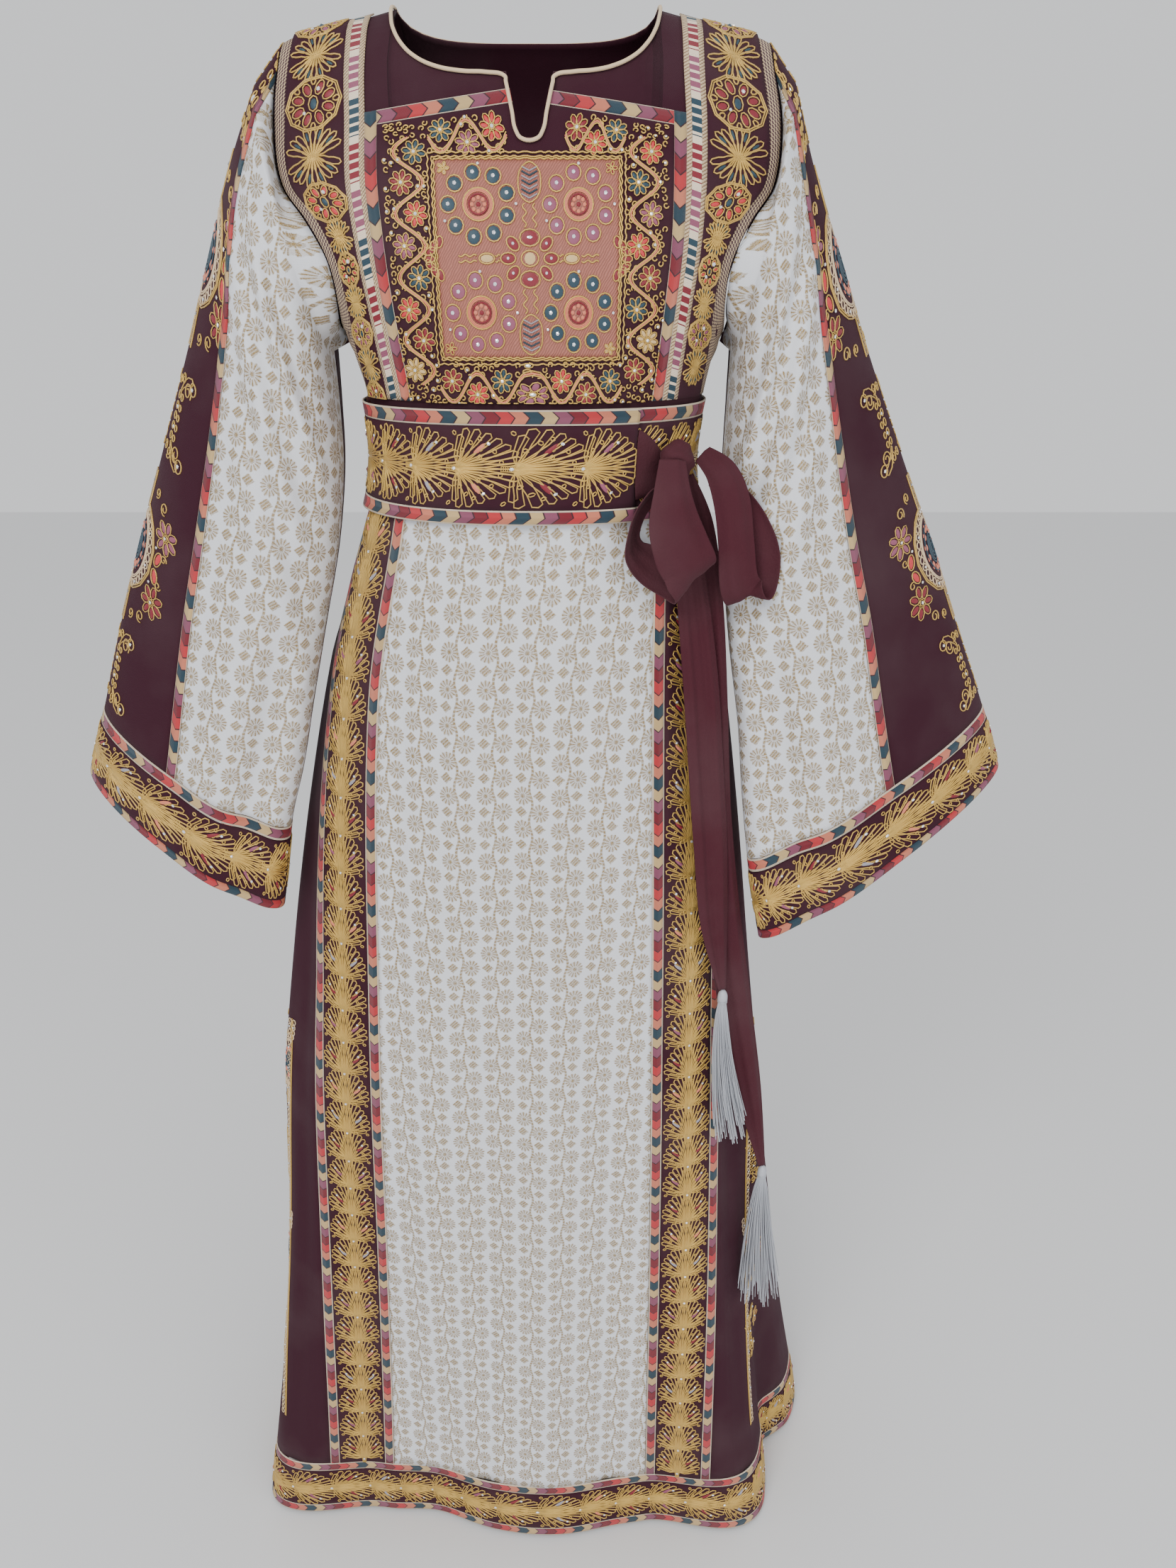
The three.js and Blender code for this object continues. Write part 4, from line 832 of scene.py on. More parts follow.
# x, y, z, width and lean of the width; the swing of every row of a tail is SWING
SWING = 14
TAIL_SHORT = [
    (109, -85.4, -311, 10, 0), (117, -88, -345, 20, 2), (126, -90, -400, 26, 3),
    (135, -93, -470, 30, 4), (142, -94, -540, 31, 4), (149, -94, -610, 31, 4),
    (156, -94, -690, 26, 6), (167, -94, -762, 7, 8)]
TAIL_LONG = [
    (119.5, -78.4, -306, 8, 0), (131, -80, -345, 20, 3), (139, -81, -410, 26, 4),
    (146, -83, -490, 27, 4), (154, -84, -590, 28, 5), (166, -84, -690, 32, 6),
    (182, -82, -790, 33, 7), (201, -82, -890, 26, 8), (220, -82, -985, 7, 10)]
# x, y, z of the head, strand length, spread, drift sideways and forward
TASSELS = {"short": (167.6, -94, -770.2, 160, 13, 14, -7), "long": (220.6, -82, -993.2, 172, 20, 6, -6)}

# Strands of a tassel, their radius in metres, and the radius of the binding in millimetres
STRANDS, STRAND, BINDING = 120, 0.00042, 4.3


def ribbon(name, table, columns, per_row, cup, gathers, deep):
    """Ribbon of cloth along a table of rows, gathered into fine lengthwise folds."""
    t = np.linspace(0, len(table) - 1, (len(table) - 1) * per_row + 1)
    v = through_rows([row if len(row) == 6 else (*row, SWING) for row in table], t)
    centre, wide, lean, swing = v[:, :3], v[:, 3], np.radians(v[:, 4]), np.radians(v[:, 5])
    tangent = np.gradient(centre, axis=0)
    tangent /= np.linalg.norm(tangent, axis=1, keepdims=True)
    width = np.stack([np.cos(lean) * np.cos(swing), np.sin(swing), np.sin(lean) * np.cos(swing)], 1)
    width -= tangent * (width * tangent).sum(1, keepdims=True)
    width /= np.linalg.norm(width, axis=1, keepdims=True)
    normal = np.cross(width, tangent)
    share = np.linspace(0, 1, columns + 1)
    fold = sum(high * np.sin(CIRCLE * (count * share[None, :] + drift * t[:, None]) + phase)
               for count, drift, phase, high in gathers)
    high = (cup * (1 - (2 * share - 1) ** 2)[None, :] * np.minimum(1, wide / 40)[:, None]
            + deep * fold * np.minimum(1, wide / 30)[:, None])
    points = (centre[:, None] + width[:, None] * (wide[:, None] * (share - 0.5)[None, :])[..., None]
              + normal[:, None] * high[..., None])
    return Panel(name, points)


BOW_GATHERS = [(1.0, 0.10, 0.4, 1.0), (2.5, -0.08, 1.3, 0.4)]
TAIL_GATHERS = [(1.5, 0.05, 2.2, 1.0), (3.5, -0.03, 0.6, 0.45)]
SASH = {
    "bow_loop_front": ribbon("bow_loop_front", BOW_FRONT, 40, 9, -4, BOW_GATHERS, 0.9),
    "bow_loop_back": ribbon("bow_loop_back", BOW_BACK, 36, 9, -4, BOW_GATHERS, 0.9),
    "sash_tail_short": ribbon("sash_tail_short", TAIL_SHORT, 24, 14, -3, TAIL_GATHERS, 1.3),
    "sash_tail_long": ribbon("sash_tail_long", TAIL_LONG, 24, 14, -3, TAIL_GATHERS, 1.3),
}


def knot(material):
    """The knot: a soft ball with the sash wrapped round it in slanting folds."""
    centre = around(KNOT_TURN, KNOT_Z, belt_off(KNOT_TURN) + BELT_THICK + KNOT_SIZE[1] + KNOT_LIFT)
    out = around(KNOT_TURN, KNOT_Z, 1) - around(KNOT_TURN, KNOT_Z)
    turn = math.atan2(out[0], -out[1])
    bm = bmesh.new()
    bmesh.ops.create_uvsphere(bm, u_segments=48, v_segments=28, radius=1)
    for vertex in bm.verts:
        x, y, z = vertex.co
        wave = math.sin(7 * z + 3.2 * x) * 0.055 + math.sin(13 * z - 4 * x + 1) * 0.025
        x, y, z = (value * (1 + wave) * size for value, size in zip((x, y, z), KNOT_SIZE))
        vertex.co = Vector((centre[0] + x * math.cos(turn) - y * math.sin(turn),
                            centre[1] + x * math.sin(turn) + y * math.cos(turn),
                            centre[2] + z)) * MM
    item = object_of(bm, "sash_knot", [material])
    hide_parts("sash_knot")


def tassel(word, material):
    """A bound head and fine strands that fall and spread from it."""
    x, y, z, length, spread, aside, ahead = TASSELS[word]
    curve = tubes(f"tassel_{word}", STRAND, 0)
    for k in range(STRANDS):
        ring = math.sqrt((k + 0.5) / STRANDS)
        turn = k * math.pi * (3 - math.sqrt(5))
        long = length * (0.9 + 0.1 * math.cos(5 * turn))
        line = curve.splines.new("POLY")
        line.points.add(8)
        for n in range(9):
            s = n / 8
            reach = ring * (3.2 + spread * s**0.8)
            sway = 1.2 * math.sin(3 * s + k)
            line.points[n].co = ((x + reach * math.cos(turn) + aside * s * s + sway * s) * MM,
                                 (y + 0.55 * reach * math.sin(turn) + ahead * s * s) * MM,
                                 (z - 3 - long * s) * MM, 1)
    for n in range(5):
        ring = curve.splines.new("POLY")
        ring.points.add(11)
        ring.use_cyclic_u = True
        for m in range(12):
            a = CIRCLE * m / 12
            ring.points[m].co = ((x + BINDING * math.cos(a)) * MM, (y + BINDING * math.sin(a)) * MM,
                                 (z - 1.2 - n) * MM, 1)
    curve.materials.append(material)
    item = add_object(f"tassel_{word}", curve)
    head = bmesh.new()
    bmesh.ops.create_uvsphere(head, u_segments=16, v_segments=10, radius=1)
    for vertex in head.verts:
        vertex.co = Vector((x + vertex.co.x * 4.6, y + vertex.co.y * 4.6, z + vertex.co.z * 8)) * MM
    top = object_of(head, f"tassel_head_{word}", [material])
    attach(item, "root")
    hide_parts(f"tassel_{word}")


def neck_binding(material):
    """Corded edge round the neck and down its slit, lying on the cloth just inside the edge."""
    radius, inset = 1.3, 1.7
    low, high = SEAM + radius, 2 * SEAM + APPLIQUE + radius
    points = []

    def neck(share, drop, facing):
        distance = (NECK_HALF + inset) * share
        z = -(drop + inset) * math.sqrt(max(0.0, 1 - share**4))
        z = min(z, shoulder_line(abs(distance))) if abs(distance) > NECK_HALF else z
        points.append(across(distance, z, facing, low))

    def slit(x, z, off):
        points.append(across(x - float(section(z)[0]), z, -1, off))

    def slit_x(z):
        share = (z - SLIT["top"]) / (SLIT["foot"] - SLIT["top"])
        return inset + SLIT["half_top"] + (SLIT["half_foot"] - SLIT["half_top"]) * share

    down = [(-50, low), (-54, low + 0.6 * (high - low)), (-60, high), (-72, high), (-84, high)]
    for share in (-1, -0.985, -0.95, -0.89, -0.8, -0.65, -0.45, -0.27):
        neck(share, NECK_DROP, -1)
    for z, off in down:
        slit(SLIT["middle"] - slit_x(z), z, off)
    for side in (-1, 1):
        slit(SLIT["middle"] + side * (SLIT["half_foot"] - 1.5), SLIT["foot"] - inset, high)
    for z, off in reversed(down):
        slit(SLIT["middle"] + slit_x(z), z, off)
    for share in (0.36, 0.5, 0.65, 0.8, 0.89, 0.95, 0.985, 1):
        neck(share, NECK_DROP, -1)
    for share in (0.97, 0.88, 0.7, 0.4, 0, -0.4, -0.7, -0.88, -0.97):
        neck(share, NECK_BACK_DROP, 1)
    curve = tubes("neck_cord", radius * MM, 3)
    curve.resolution_u = 6
    line = curve.splines.new("BEZIER")
    line.bezier_points.add(len(points) - 1)
    line.use_cyclic_u = True
    for knot_point, spot in zip(line.bezier_points, points):
        knot_point.co = Vector(spot) * MM
        knot_point.handle_left_type = knot_point.handle_right_type = "AUTO"
    curve.materials.append(material)
    item = add_object("neck_cord", curve)
    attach(item, "root")
    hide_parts("neck_binding")


print("sash panels", list(SASH))

# %% [markdown]
# ## Weaves, silks and metal threads
# Patterns are worked out by shader nodes from the cloth's own lengths. A small class writes the
# arithmetic of the nodes as plain formulas.

# %% Shader arithmetic
class Term:
    """A shader value that can be added, multiplied and compared with others."""

    def __init__(self, tree, socket):
        self.tree, self.socket = tree, socket

    def math(self, operation, *others):
        node = self.tree.nodes.new("ShaderNodeMath")
        node.operation = operation
        for k, value in enumerate((self, *others)):
            if isinstance(value, Term):
                self.tree.links.new(value.socket, node.inputs[k])
            else:
                node.inputs[k].default_value = value
        return Term(self.tree, node.outputs[0])

    def __add__(self, other):
        return self.math("ADD", other)

    def __sub__(self, other):
        return self.math("SUBTRACT", other)

    def __mul__(self, other):
        return self.math("MULTIPLY", other)

    def __truediv__(self, other):
        return self.math("DIVIDE", other)

    def __neg__(self):
        return self * -1

    def fract(self):
        return self.math("FRACT")

    def abs(self):
        return self.math("ABSOLUTE")

    def sin(self):
        return self.math("SINE")

    def below(self, limit, soft=0.0):
        """1 where the value is under the limit, 0 above it, with a soft edge."""
        if not soft:
            return self.math("LESS_THAN", limit)
        value = (-self + limit) / soft + 0.5
        value.socket.node.use_clamp = True
        return value

    def most(self, other):
        return self.math("MAXIMUM", other)


def new_material(name, roughness, sheen=0.0, metallic=0.0):
    item = bpy.data.materials.new(name)
    item.use_nodes = True
    shader = item.node_tree.nodes["Principled BSDF"]
    shader.inputs["Roughness"].default_value = roughness
    shader.inputs["Metallic"].default_value = metallic
    shader.inputs["Sheen Weight"].default_value = sheen
    return item, item.node_tree, shader


def cloth_lengths(tree):
    """Metres across and along the cloth."""
    node = tree.nodes.new("ShaderNodeUVMap")
    node.uv_map = "cloth"
    split = tree.nodes.new("ShaderNodeSeparateXYZ")
    tree.links.new(node.outputs[0], split.inputs[0])
    return Term(tree, split.outputs[0]), Term(tree, split.outputs[1])


def mix(tree, amount, low, high):
    """Colour between two, each a colour or a socket."""
    node = tree.nodes.new("ShaderNodeMix")
    node.data_type = "RGBA"
    tree.links.new(amount.socket, node.inputs["Factor"])
    for name, value in (("A", low), ("B", high)):
        socket = [s for s in node.inputs if s.name == name and s.type == "RGBA"][0]
        if isinstance(value, tuple):
            socket.default_value = (*value, 1)
        else:
            tree.links.new(value, socket)
    return [s for s in node.outputs if s.type == "RGBA"][0]


def noise(tree, scale, detail=2.0):
    """Noise over the object's own space."""
    node = tree.nodes.new("ShaderNodeTexNoise")
    node.inputs["Scale"].default_value = scale
    node.inputs["Detail"].default_value = detail
    place = tree.nodes.new("ShaderNodeTexCoord")
    tree.links.new(place.outputs["Object"], node.inputs["Vector"])
    return Term(tree, node.outputs["Fac"])


def stepped(tree, value, colours):
    """Colours one after another as the value goes from 0 to 1."""
    node = tree.nodes.new("ShaderNodeValToRGB")
    ramp = node.color_ramp
    ramp.interpolation = "CONSTANT"
    ramp.elements[0].color = (*colours[0], 1)
    ramp.elements[1].position, ramp.elements[1].color = 1 / len(colours), (*colours[1], 1)
    for k in range(2, len(colours)):
        ramp.elements.new(k / len(colours)).color = (*colours[k], 1)
    tree.links.new(value.socket, node.inputs[0])
    return node.outputs[0]


# %% Shared effects: thread relief and handling
def group(name, inputs):
    tree = bpy.data.node_groups.new(name, "ShaderNodeTree")
    for label, kind, value in inputs:
        socket = tree.interface.new_socket(label, in_out="INPUT", socket_type=kind)
        if value is not None:
            socket.default_value = value
    return tree, tree.nodes.new("NodeGroupInput"), tree.nodes.new("NodeGroupOutput")


def relief_group():
    """Relief: turns a height in metres and fine thread noise into a surface normal."""
    tree, source, result = group("thread_relief", [
        ("Height", "NodeSocketFloat", 0.0), ("Depth", "NodeSocketFloat", 0.0003),
        ("Crinkle", "NodeSocketFloat", 0.3), ("Crinkle Size", "NodeSocketFloat", 900.0)])
    tree.interface.new_socket("Normal", in_out="OUTPUT", socket_type="NodeSocketVector")
    place = tree.nodes.new("ShaderNodeTexCoord")
    grain = tree.nodes.new("ShaderNodeTexNoise")
    grain.inputs["Detail"].default_value = 3
    tree.links.new(place.outputs["Object"], grain.inputs["Vector"])
    tree.links.new(source.outputs["Crinkle Size"], grain.inputs["Scale"])
    high = Term(tree, source.outputs["Height"]) + Term(tree, grain.outputs["Fac"]) * Term(
        tree, source.outputs["Crinkle"])
    bump = tree.nodes.new("ShaderNodeBump")
    bump.inputs["Strength"].default_value = 1.0
    tree.links.new(high.socket, bump.inputs["Height"])
    tree.links.new(source.outputs["Depth"], bump.inputs["Distance"])
    tree.links.new(bump.outputs[0], result.inputs["Normal"])
    return tree


def wear_group():
    """Wear: faint dust and handling that pales a colour in broad soft patches."""
    tree, source, result = group("soft_wear", [
        ("Color", "NodeSocketColor", None), ("Amount", "NodeSocketFloat", 0.08)])
    tree.interface.new_socket("Color", in_out="OUTPUT", socket_type="NodeSocketColor")
    patch = (noise(tree, 9.0, 4.0) - 0.42) * 2.2
    patch.socket.node.use_clamp = True
    faded = mix(tree, patch * Term(tree, source.outputs["Amount"]), (0.0, 0.0, 0.0), (0.62, 0.58, 0.55))
    tree.links.new(source.outputs["Color"], [s for s in faded.node.inputs
                                             if s.name == "A" and s.type == "RGBA"][0])
    tree.links.new(faded, result.inputs["Color"])
    return tree


RELIEF, WEAR = relief_group(), wear_group()


def finish_material(tree, shader, colour, height=None, depth=0.0003, crinkle=0.3, size=900.0,
                    wear=0.05):
    """Joins colour and relief to the material's shader through the shared groups."""
    relief = tree.nodes.new("ShaderNodeGroup")
    relief.node_tree = RELIEF
    if height is not None:
        tree.links.new(height.socket, relief.inputs["Height"])
    relief.inputs["Depth"].default_value = depth
    relief.inputs["Crinkle"].default_value = crinkle
    relief.inputs["Crinkle Size"].default_value = size
    tree.links.new(relief.outputs[0], shader.inputs["Normal"])
    worn = tree.nodes.new("ShaderNodeGroup")
    worn.node_tree = WEAR
    worn.inputs["Amount"].default_value = wear
    if isinstance(colour, tuple):
        worn.inputs["Color"].default_value = (*colour, 1)
    else:
        tree.links.new(colour, worn.inputs["Color"])
    tree.links.new(worn.outputs[0], shader.inputs["Base Color"])


# %% Materials
def linear(code):
    """Linear colour from a colour as it looks, such as 3d1424."""
    parts = [int(code[k:k + 2], 16) / 255 for k in (0, 2, 4)]
    return tuple(c / 12.92 if c <= 0.04045 else ((c + 0.055) / 1.055) ** 2.4 for c in parts)


PLUM_DYE, CREPE_DYE, GOLD_THREAD = linear("35101f"), linear("441823"), linear("d0aa58")
TEAL, CREAM, MAUVE = linear("123848"), linear("d6b47c"), linear("8e4862")
CRIMSON, CORAL, PEACH = linear("7e0c22"), linear("c92e34"), linear("d87c5e")
BEIGE, PIPING = linear("d9bf9a"), linear("ecd9c0")


def plum_cloth():
    item, tree, shader = new_material("plum_cloth", 0.85, 0.04)
    shader.inputs["Sheen Tint"].default_value = (0.5, 0.3, 0.36, 1)
    shader.inputs["Specular IOR Level"].default_value = 0.25
    u, v = cloth_lengths(tree)
    twill = ((u + v) * (CIRCLE / 0.0011)).sin() * 0.5
    finish_material(tree, shader, PLUM_DYE, twill, 0.00012, 0.8, 700)
    return item


def crepe():
    item, tree, shader = new_material("sash_crepe", 0.82, 0.06)
    shader.inputs["Specular IOR Level"].default_value = 0.25
    shader.inputs["Sheen Tint"].default_value = (0.55, 0.33, 0.36, 1)
    finish_material(tree, shader, CREPE_DYE, None, 0.0005, 1.0, 520)
    return item


def brocade():
    """Cool white satin with beige metallic figures: wavy stems, round flowers, small leaves. The gold
    carries painted glints, fine pale specks as of light caught by the metal.
    """
    item, tree, shader = new_material("cream_brocade", 0.42, 0.1)
    u, v = cloth_lengths(tree)
    repeat = 0.0305
    x, y = u / repeat, v / repeat
    wave = (y * (CIRCLE)).sin() * 0.045
    wander = (noise(tree, 420.0, 2.0) - 0.5) * 0.10

    def figure(across_by, down_by):
        """A round flower with ribbed petals, a ring and a core."""
        fx = (x + across_by).fract() - 0.5
        fy = (y + down_by).fract() - 0.5
        turn = fy.math("ARCTAN2", fx)
        reach = ((fx * fx) * 1.3 + fy * fy).math("SQRT")
        edge = (turn * 14).sin() * 0.012 + wander + 0.262
        flower = (reach - edge).below(0, 0.03)
        ribs = (turn * 14).sin().below(0.35, 0.5)
        core = reach.below(0.050, 0.01)
        heart = (reach - 0.095).abs().below(0.016, 0.012)
        return (flower * (ribs * -0.62 + 1)).most(core) * (heart * -0.5 + 1)

    def leaf(across_by, down_by):
        """A small square leaf with veins."""
        fx = (x + across_by).fract() - 0.5
        fy = (y + down_by).fract() - 0.5
        size = (fx + fy).abs().most((fx - fy).abs())
        veins = ((fx + fy) * 60).sin().below(0.3, 0.4)
        return (size + wander).below(0.165, 0.03) * (veins * 0.4 + 0.6)

    stem = ((x + wave).fract() - 0.5).abs().below(0.034, 0.02)
    beads = (y * (CIRCLE * 9)).sin().below(0.4)
    pattern = figure(0.22, 0.0).most(figure(-0.26, 0.5)).most(leaf(-0.24, 0.02)).most(
        leaf(0.26, 0.52)).most(stem * (beads * 0.5 + 0.5))
    stitch = ((u + v) * (CIRCLE / 0.0009)).sin() * 0.2
    # Painted glints: fine specks where the gold turns pale, light that the metal thread catches, painted
    # into its colour.
    painted_glint = (noise(tree, 2600.0, 1.0) - 0.6) * 9
    painted_glint.socket.node.use_clamp = True
    gold = mix(tree, painted_glint, linear("8f7238"), linear("f6e3ac"))
    speckle = (noise(tree, 1500.0, 1.0) - 0.36) * 5
    speckle.socket.node.use_clamp = True
    pattern = pattern * (speckle * 0.35 + 0.65)
    colour = mix(tree, pattern, linear("dfe1e6"), gold)
    tree.links.new((-(pattern * 0.10) + 0.46).socket, shader.inputs["Roughness"])
    tree.links.new((pattern * 0.25).socket, shader.inputs["Metallic"])
    finish_material(tree, shader, colour, pattern * 1.2 + stitch, 0.00022, 0.25, 1500, 0.03)
    return item


def chevron():
    """Braid of satin-stitched chevrons in six colours between cream piping, 11 mm wide."""
    item, tree, shader = new_material("chevron_braid", 0.55, 0.1)
    u, v = cloth_lengths(tree)
    block = ((v + u.abs() * 0.9) / 0.063).fract()
    colour = stepped(tree, block, [TEAL, CREAM, MAUVE, CRIMSON, CORAL, PEACH])
    line = ((block * 6).fract() - 0.5).abs()
    gap = (-line + 0.5).below(0.05, 0.03)
    colour = mix(tree, gap, colour, PLUM_DYE)
    piping = (-u.abs() + 0.0043).below(0.0, 0.0003)
    colour = mix(tree, piping, colour, PIPING)
    threads = ((v * 0.7 + u.abs() * 1.4) * (CIRCLE / 0.0008)).sin() * 0.25
    round_edge = (-(u.abs() - 0.0049).abs() * 300) + 0.4
    height = threads + piping * (round_edge + 0.5) - gap * 0.8 - (u.abs() * 60)
    finish_material(tree, shader, colour, height, 0.0005, 0.15, 1500, 0.04)
    return item


def tape():
    """Tape with silk blocks in groups between two twisted beige cords; the grooves of the cords' twist
    carry painted shade.
    """
    item, tree, shader = new_material("block_tape", 0.6, 0.1)
    u, v = cloth_lengths(tree)
    step = (v / 0.030).fract()
    colour = stepped(tree, (v / 0.090).fract(), [TEAL, CRIMSON, MAUVE])
    bars = ((step * 5).fract() - 0.5).abs().below(0.34)
    inside = step.below(0.86)
    colour = mix(tree, bars * inside, PIPING, colour)
    cords = (-u.abs() + 0.0035).below(0.0, 0.0002)
    twist = ((v + u * 0.8) * (CIRCLE / 0.0024)).sin()
    # Painted shade: the cords turn brown where the twist's relief is lowest, in the grooves between its
    # turns.
    beige = mix(tree, twist.below(-0.55, 0.4), BEIGE, linear("8a6a48"))
    colour = mix(tree, cords, colour, beige)
    height = cords * (twist * 0.5 + 1.0) + (v * (CIRCLE / 0.0012)).sin() * 0.2
    finish_material(tree, shader, colour, height, 0.0006, 0.2, 1200, 0.04)
    return item


def check():
    """Edging woven in small beige and plum checks."""
    item, tree, shader = new_material("check_edging", 0.75, 0.1)
    u, v = cloth_lengths(tree)
    cell = 0.0052
    a, b = ((u + v) / cell).fract(), ((u - v) / cell).fract()
    broken = (a.below(0.5) - b.below(0.5)).abs()
    colour = mix(tree, broken, linear("cdb48f"), linear("4a2330"))
    weave = (u * (CIRCLE / 0.001)).sin() * (v * (CIRCLE / 0.001)).sin()
    finish_material(tree, shader, colour, weave * 0.6, 0.0003, 0.3, 1200)
    return item


def stitched_ground(name, colour):
    """Silk ground laid in fine slanting rows of stitches, with painted shade in the hollows between the
    rows.
    """
    item, tree, shader = new_material(name, 0.62, 0.05)
    u, v = cloth_lengths(tree)
    drift = noise(tree, 160.0, 2.0) * 0.003
    rows = ((u + v * 0.6 + drift) * (CIRCLE / 0.0019)).sin()
    # Painted shade: each row is darker in its hollow and full colour on its crest, as the relief falls and
    # rises.
    painted_row_shade = mix(tree, rows * 0.5 + 0.5, tuple(c * 0.62 for c in colour), colour)
    finish_material(tree, shader, painted_row_shade, rows * 0.6, 0.0003, 0.5, 1400, 0.03)
    return item


def thread(name, colour, roughness=0.5, metallic=0.0, fine=2200.0):
    item, tree, shader = new_material(name, roughness, 0.1, metallic)
    finish_material(tree, shader, colour, None, 0.0002, 0.8, fine, 0.03)
    return item


def stone():
    """Clear bright stones in the embroidery."""
    item, tree, shader = new_material("stone", 0.08, 0.0, 0.55)
    finish_material(tree, shader, linear("eef0f4"), None, 0.00002, 0.1, 300, 0.0)
    return item


PLUM, CREPE, BROCADE, CHEVRON, TAPE, CHECK = (
    plum_cloth(), crepe(), brocade(), chevron(), tape(), check())
ROSE_GROUND = stitched_ground("rose_ground", linear("b26c5c"))
NECK_CORD = thread("neck_cord", BEIGE, 0.6)
SILVER = thread("silver_thread", linear("b4b7be"), 0.38, 0.1)
THREADS = {
    "gold": thread("gold_cord", GOLD_THREAD, 0.38, 0.55), "beige": thread("beige_cord", BEIGE, 0.55),
    **{tone: thread(f"{tone}_silk", dye, 0.45) for tone, dye in (
        ("teal", TEAL), ("mauve", MAUVE), ("crimson", CRIMSON), ("coral", CORAL), ("peach", PEACH))},
    "cream": thread("cream_silk", CREAM, 0.5), "grey": thread("grey_silk", linear("9a96a0"), 0.45),
    "stone": stone()}
print(len(bpy.data.materials), "materials")

# %% [markdown]
# ## Dress the frame
# Every cloth is made from its panel and takes the place of the CAD's solid.

# %% Make the cloths
LOOK = {"plum": (PLUM, "plum_cloth"), "cream": (BROCADE, "cream_brocade"),
        "gold": (PLUM, "gold_embroidery"), "braid": (CHEVRON, "chevron_braid"),
        "tape": (TAPE, "beige_cord"), "check": (CHECK, "beige_cord")}


def slit_hole(columns_before, rows_above):
    """The slit's faces: between its edges and above its foot."""
    return lambda i, j: columns_before <= j < columns_before + len(SLIT_SHARES) - 1 and i < rows_above


front_cloth = cloth(front, PLUM, "plum_cloth", ["bodice_front"],
                    hole=slit_hole(len(NECK_SHARES) - 1, FRONT_ROWS[0]))
cloth(chest, PLUM, "chest_embroidery", ["chest_panel"], hole=slit_hole(len(EVEN) - 1, CHEST_ROWS[0]))
back_cloth = cloth(back, PLUM, "plum_cloth", ["bodice_back"])
cut_as(front_cloth, front)
cut_as(back_cloth, back)
for kind, panel in TRIMS + HEM + BELT:
    cloth(panel, *LOOK[kind], [] if kind == "check" else [panel.name])
for name, _, _, kind in SKIRT:
    item = cloth(SKIRT_PANELS[name], *LOOK[kind], [name])
    if kind in ("plum", "cream"):
        cut_as(item, SKIRT_PANELS[name])
SLEEVE_KINDS = {"sleeve_outer": "plum", "sleeve_braid": "braid", "sleeve_front": "cream",
                "cuff_braid_upper": "braid", "cuff_band": "gold", "cuff_braid_lower": "braid"}
for name, panel in SLEEVE_PANELS.items():
    kind = SLEEVE_KINDS[name.rsplit("_", 1)[0]]
    item = cloth(panel, *LOOK[kind], [name])
    if kind in ("plum", "cream"):
        cut_as(item, panel)
for name, panel in SASH.items():
    item = cloth(panel, CREPE, "sash_crepe", [name], thick=CREPE_THICK)
    cut_as(item, panel)
cut_as(cloth(WRAP, CREPE, "sash_crepe", [], thick=CREPE_THICK), WRAP)
knot(CREPE)
neck_binding(NECK_CORD)
for word in TASSELS:
    tassel(word, SILVER)
print("cuts", CUTS)

# %% [markdown]
# ## Needlework
# Cords are couched on the cloth as thin tubes, silk petals are low domes, and stones are small
# faceted beads. A motif is drawn in metres of its panel: across from the middle and along from
# the top.

# %% Needlework on a panel
CORD = 0.00062


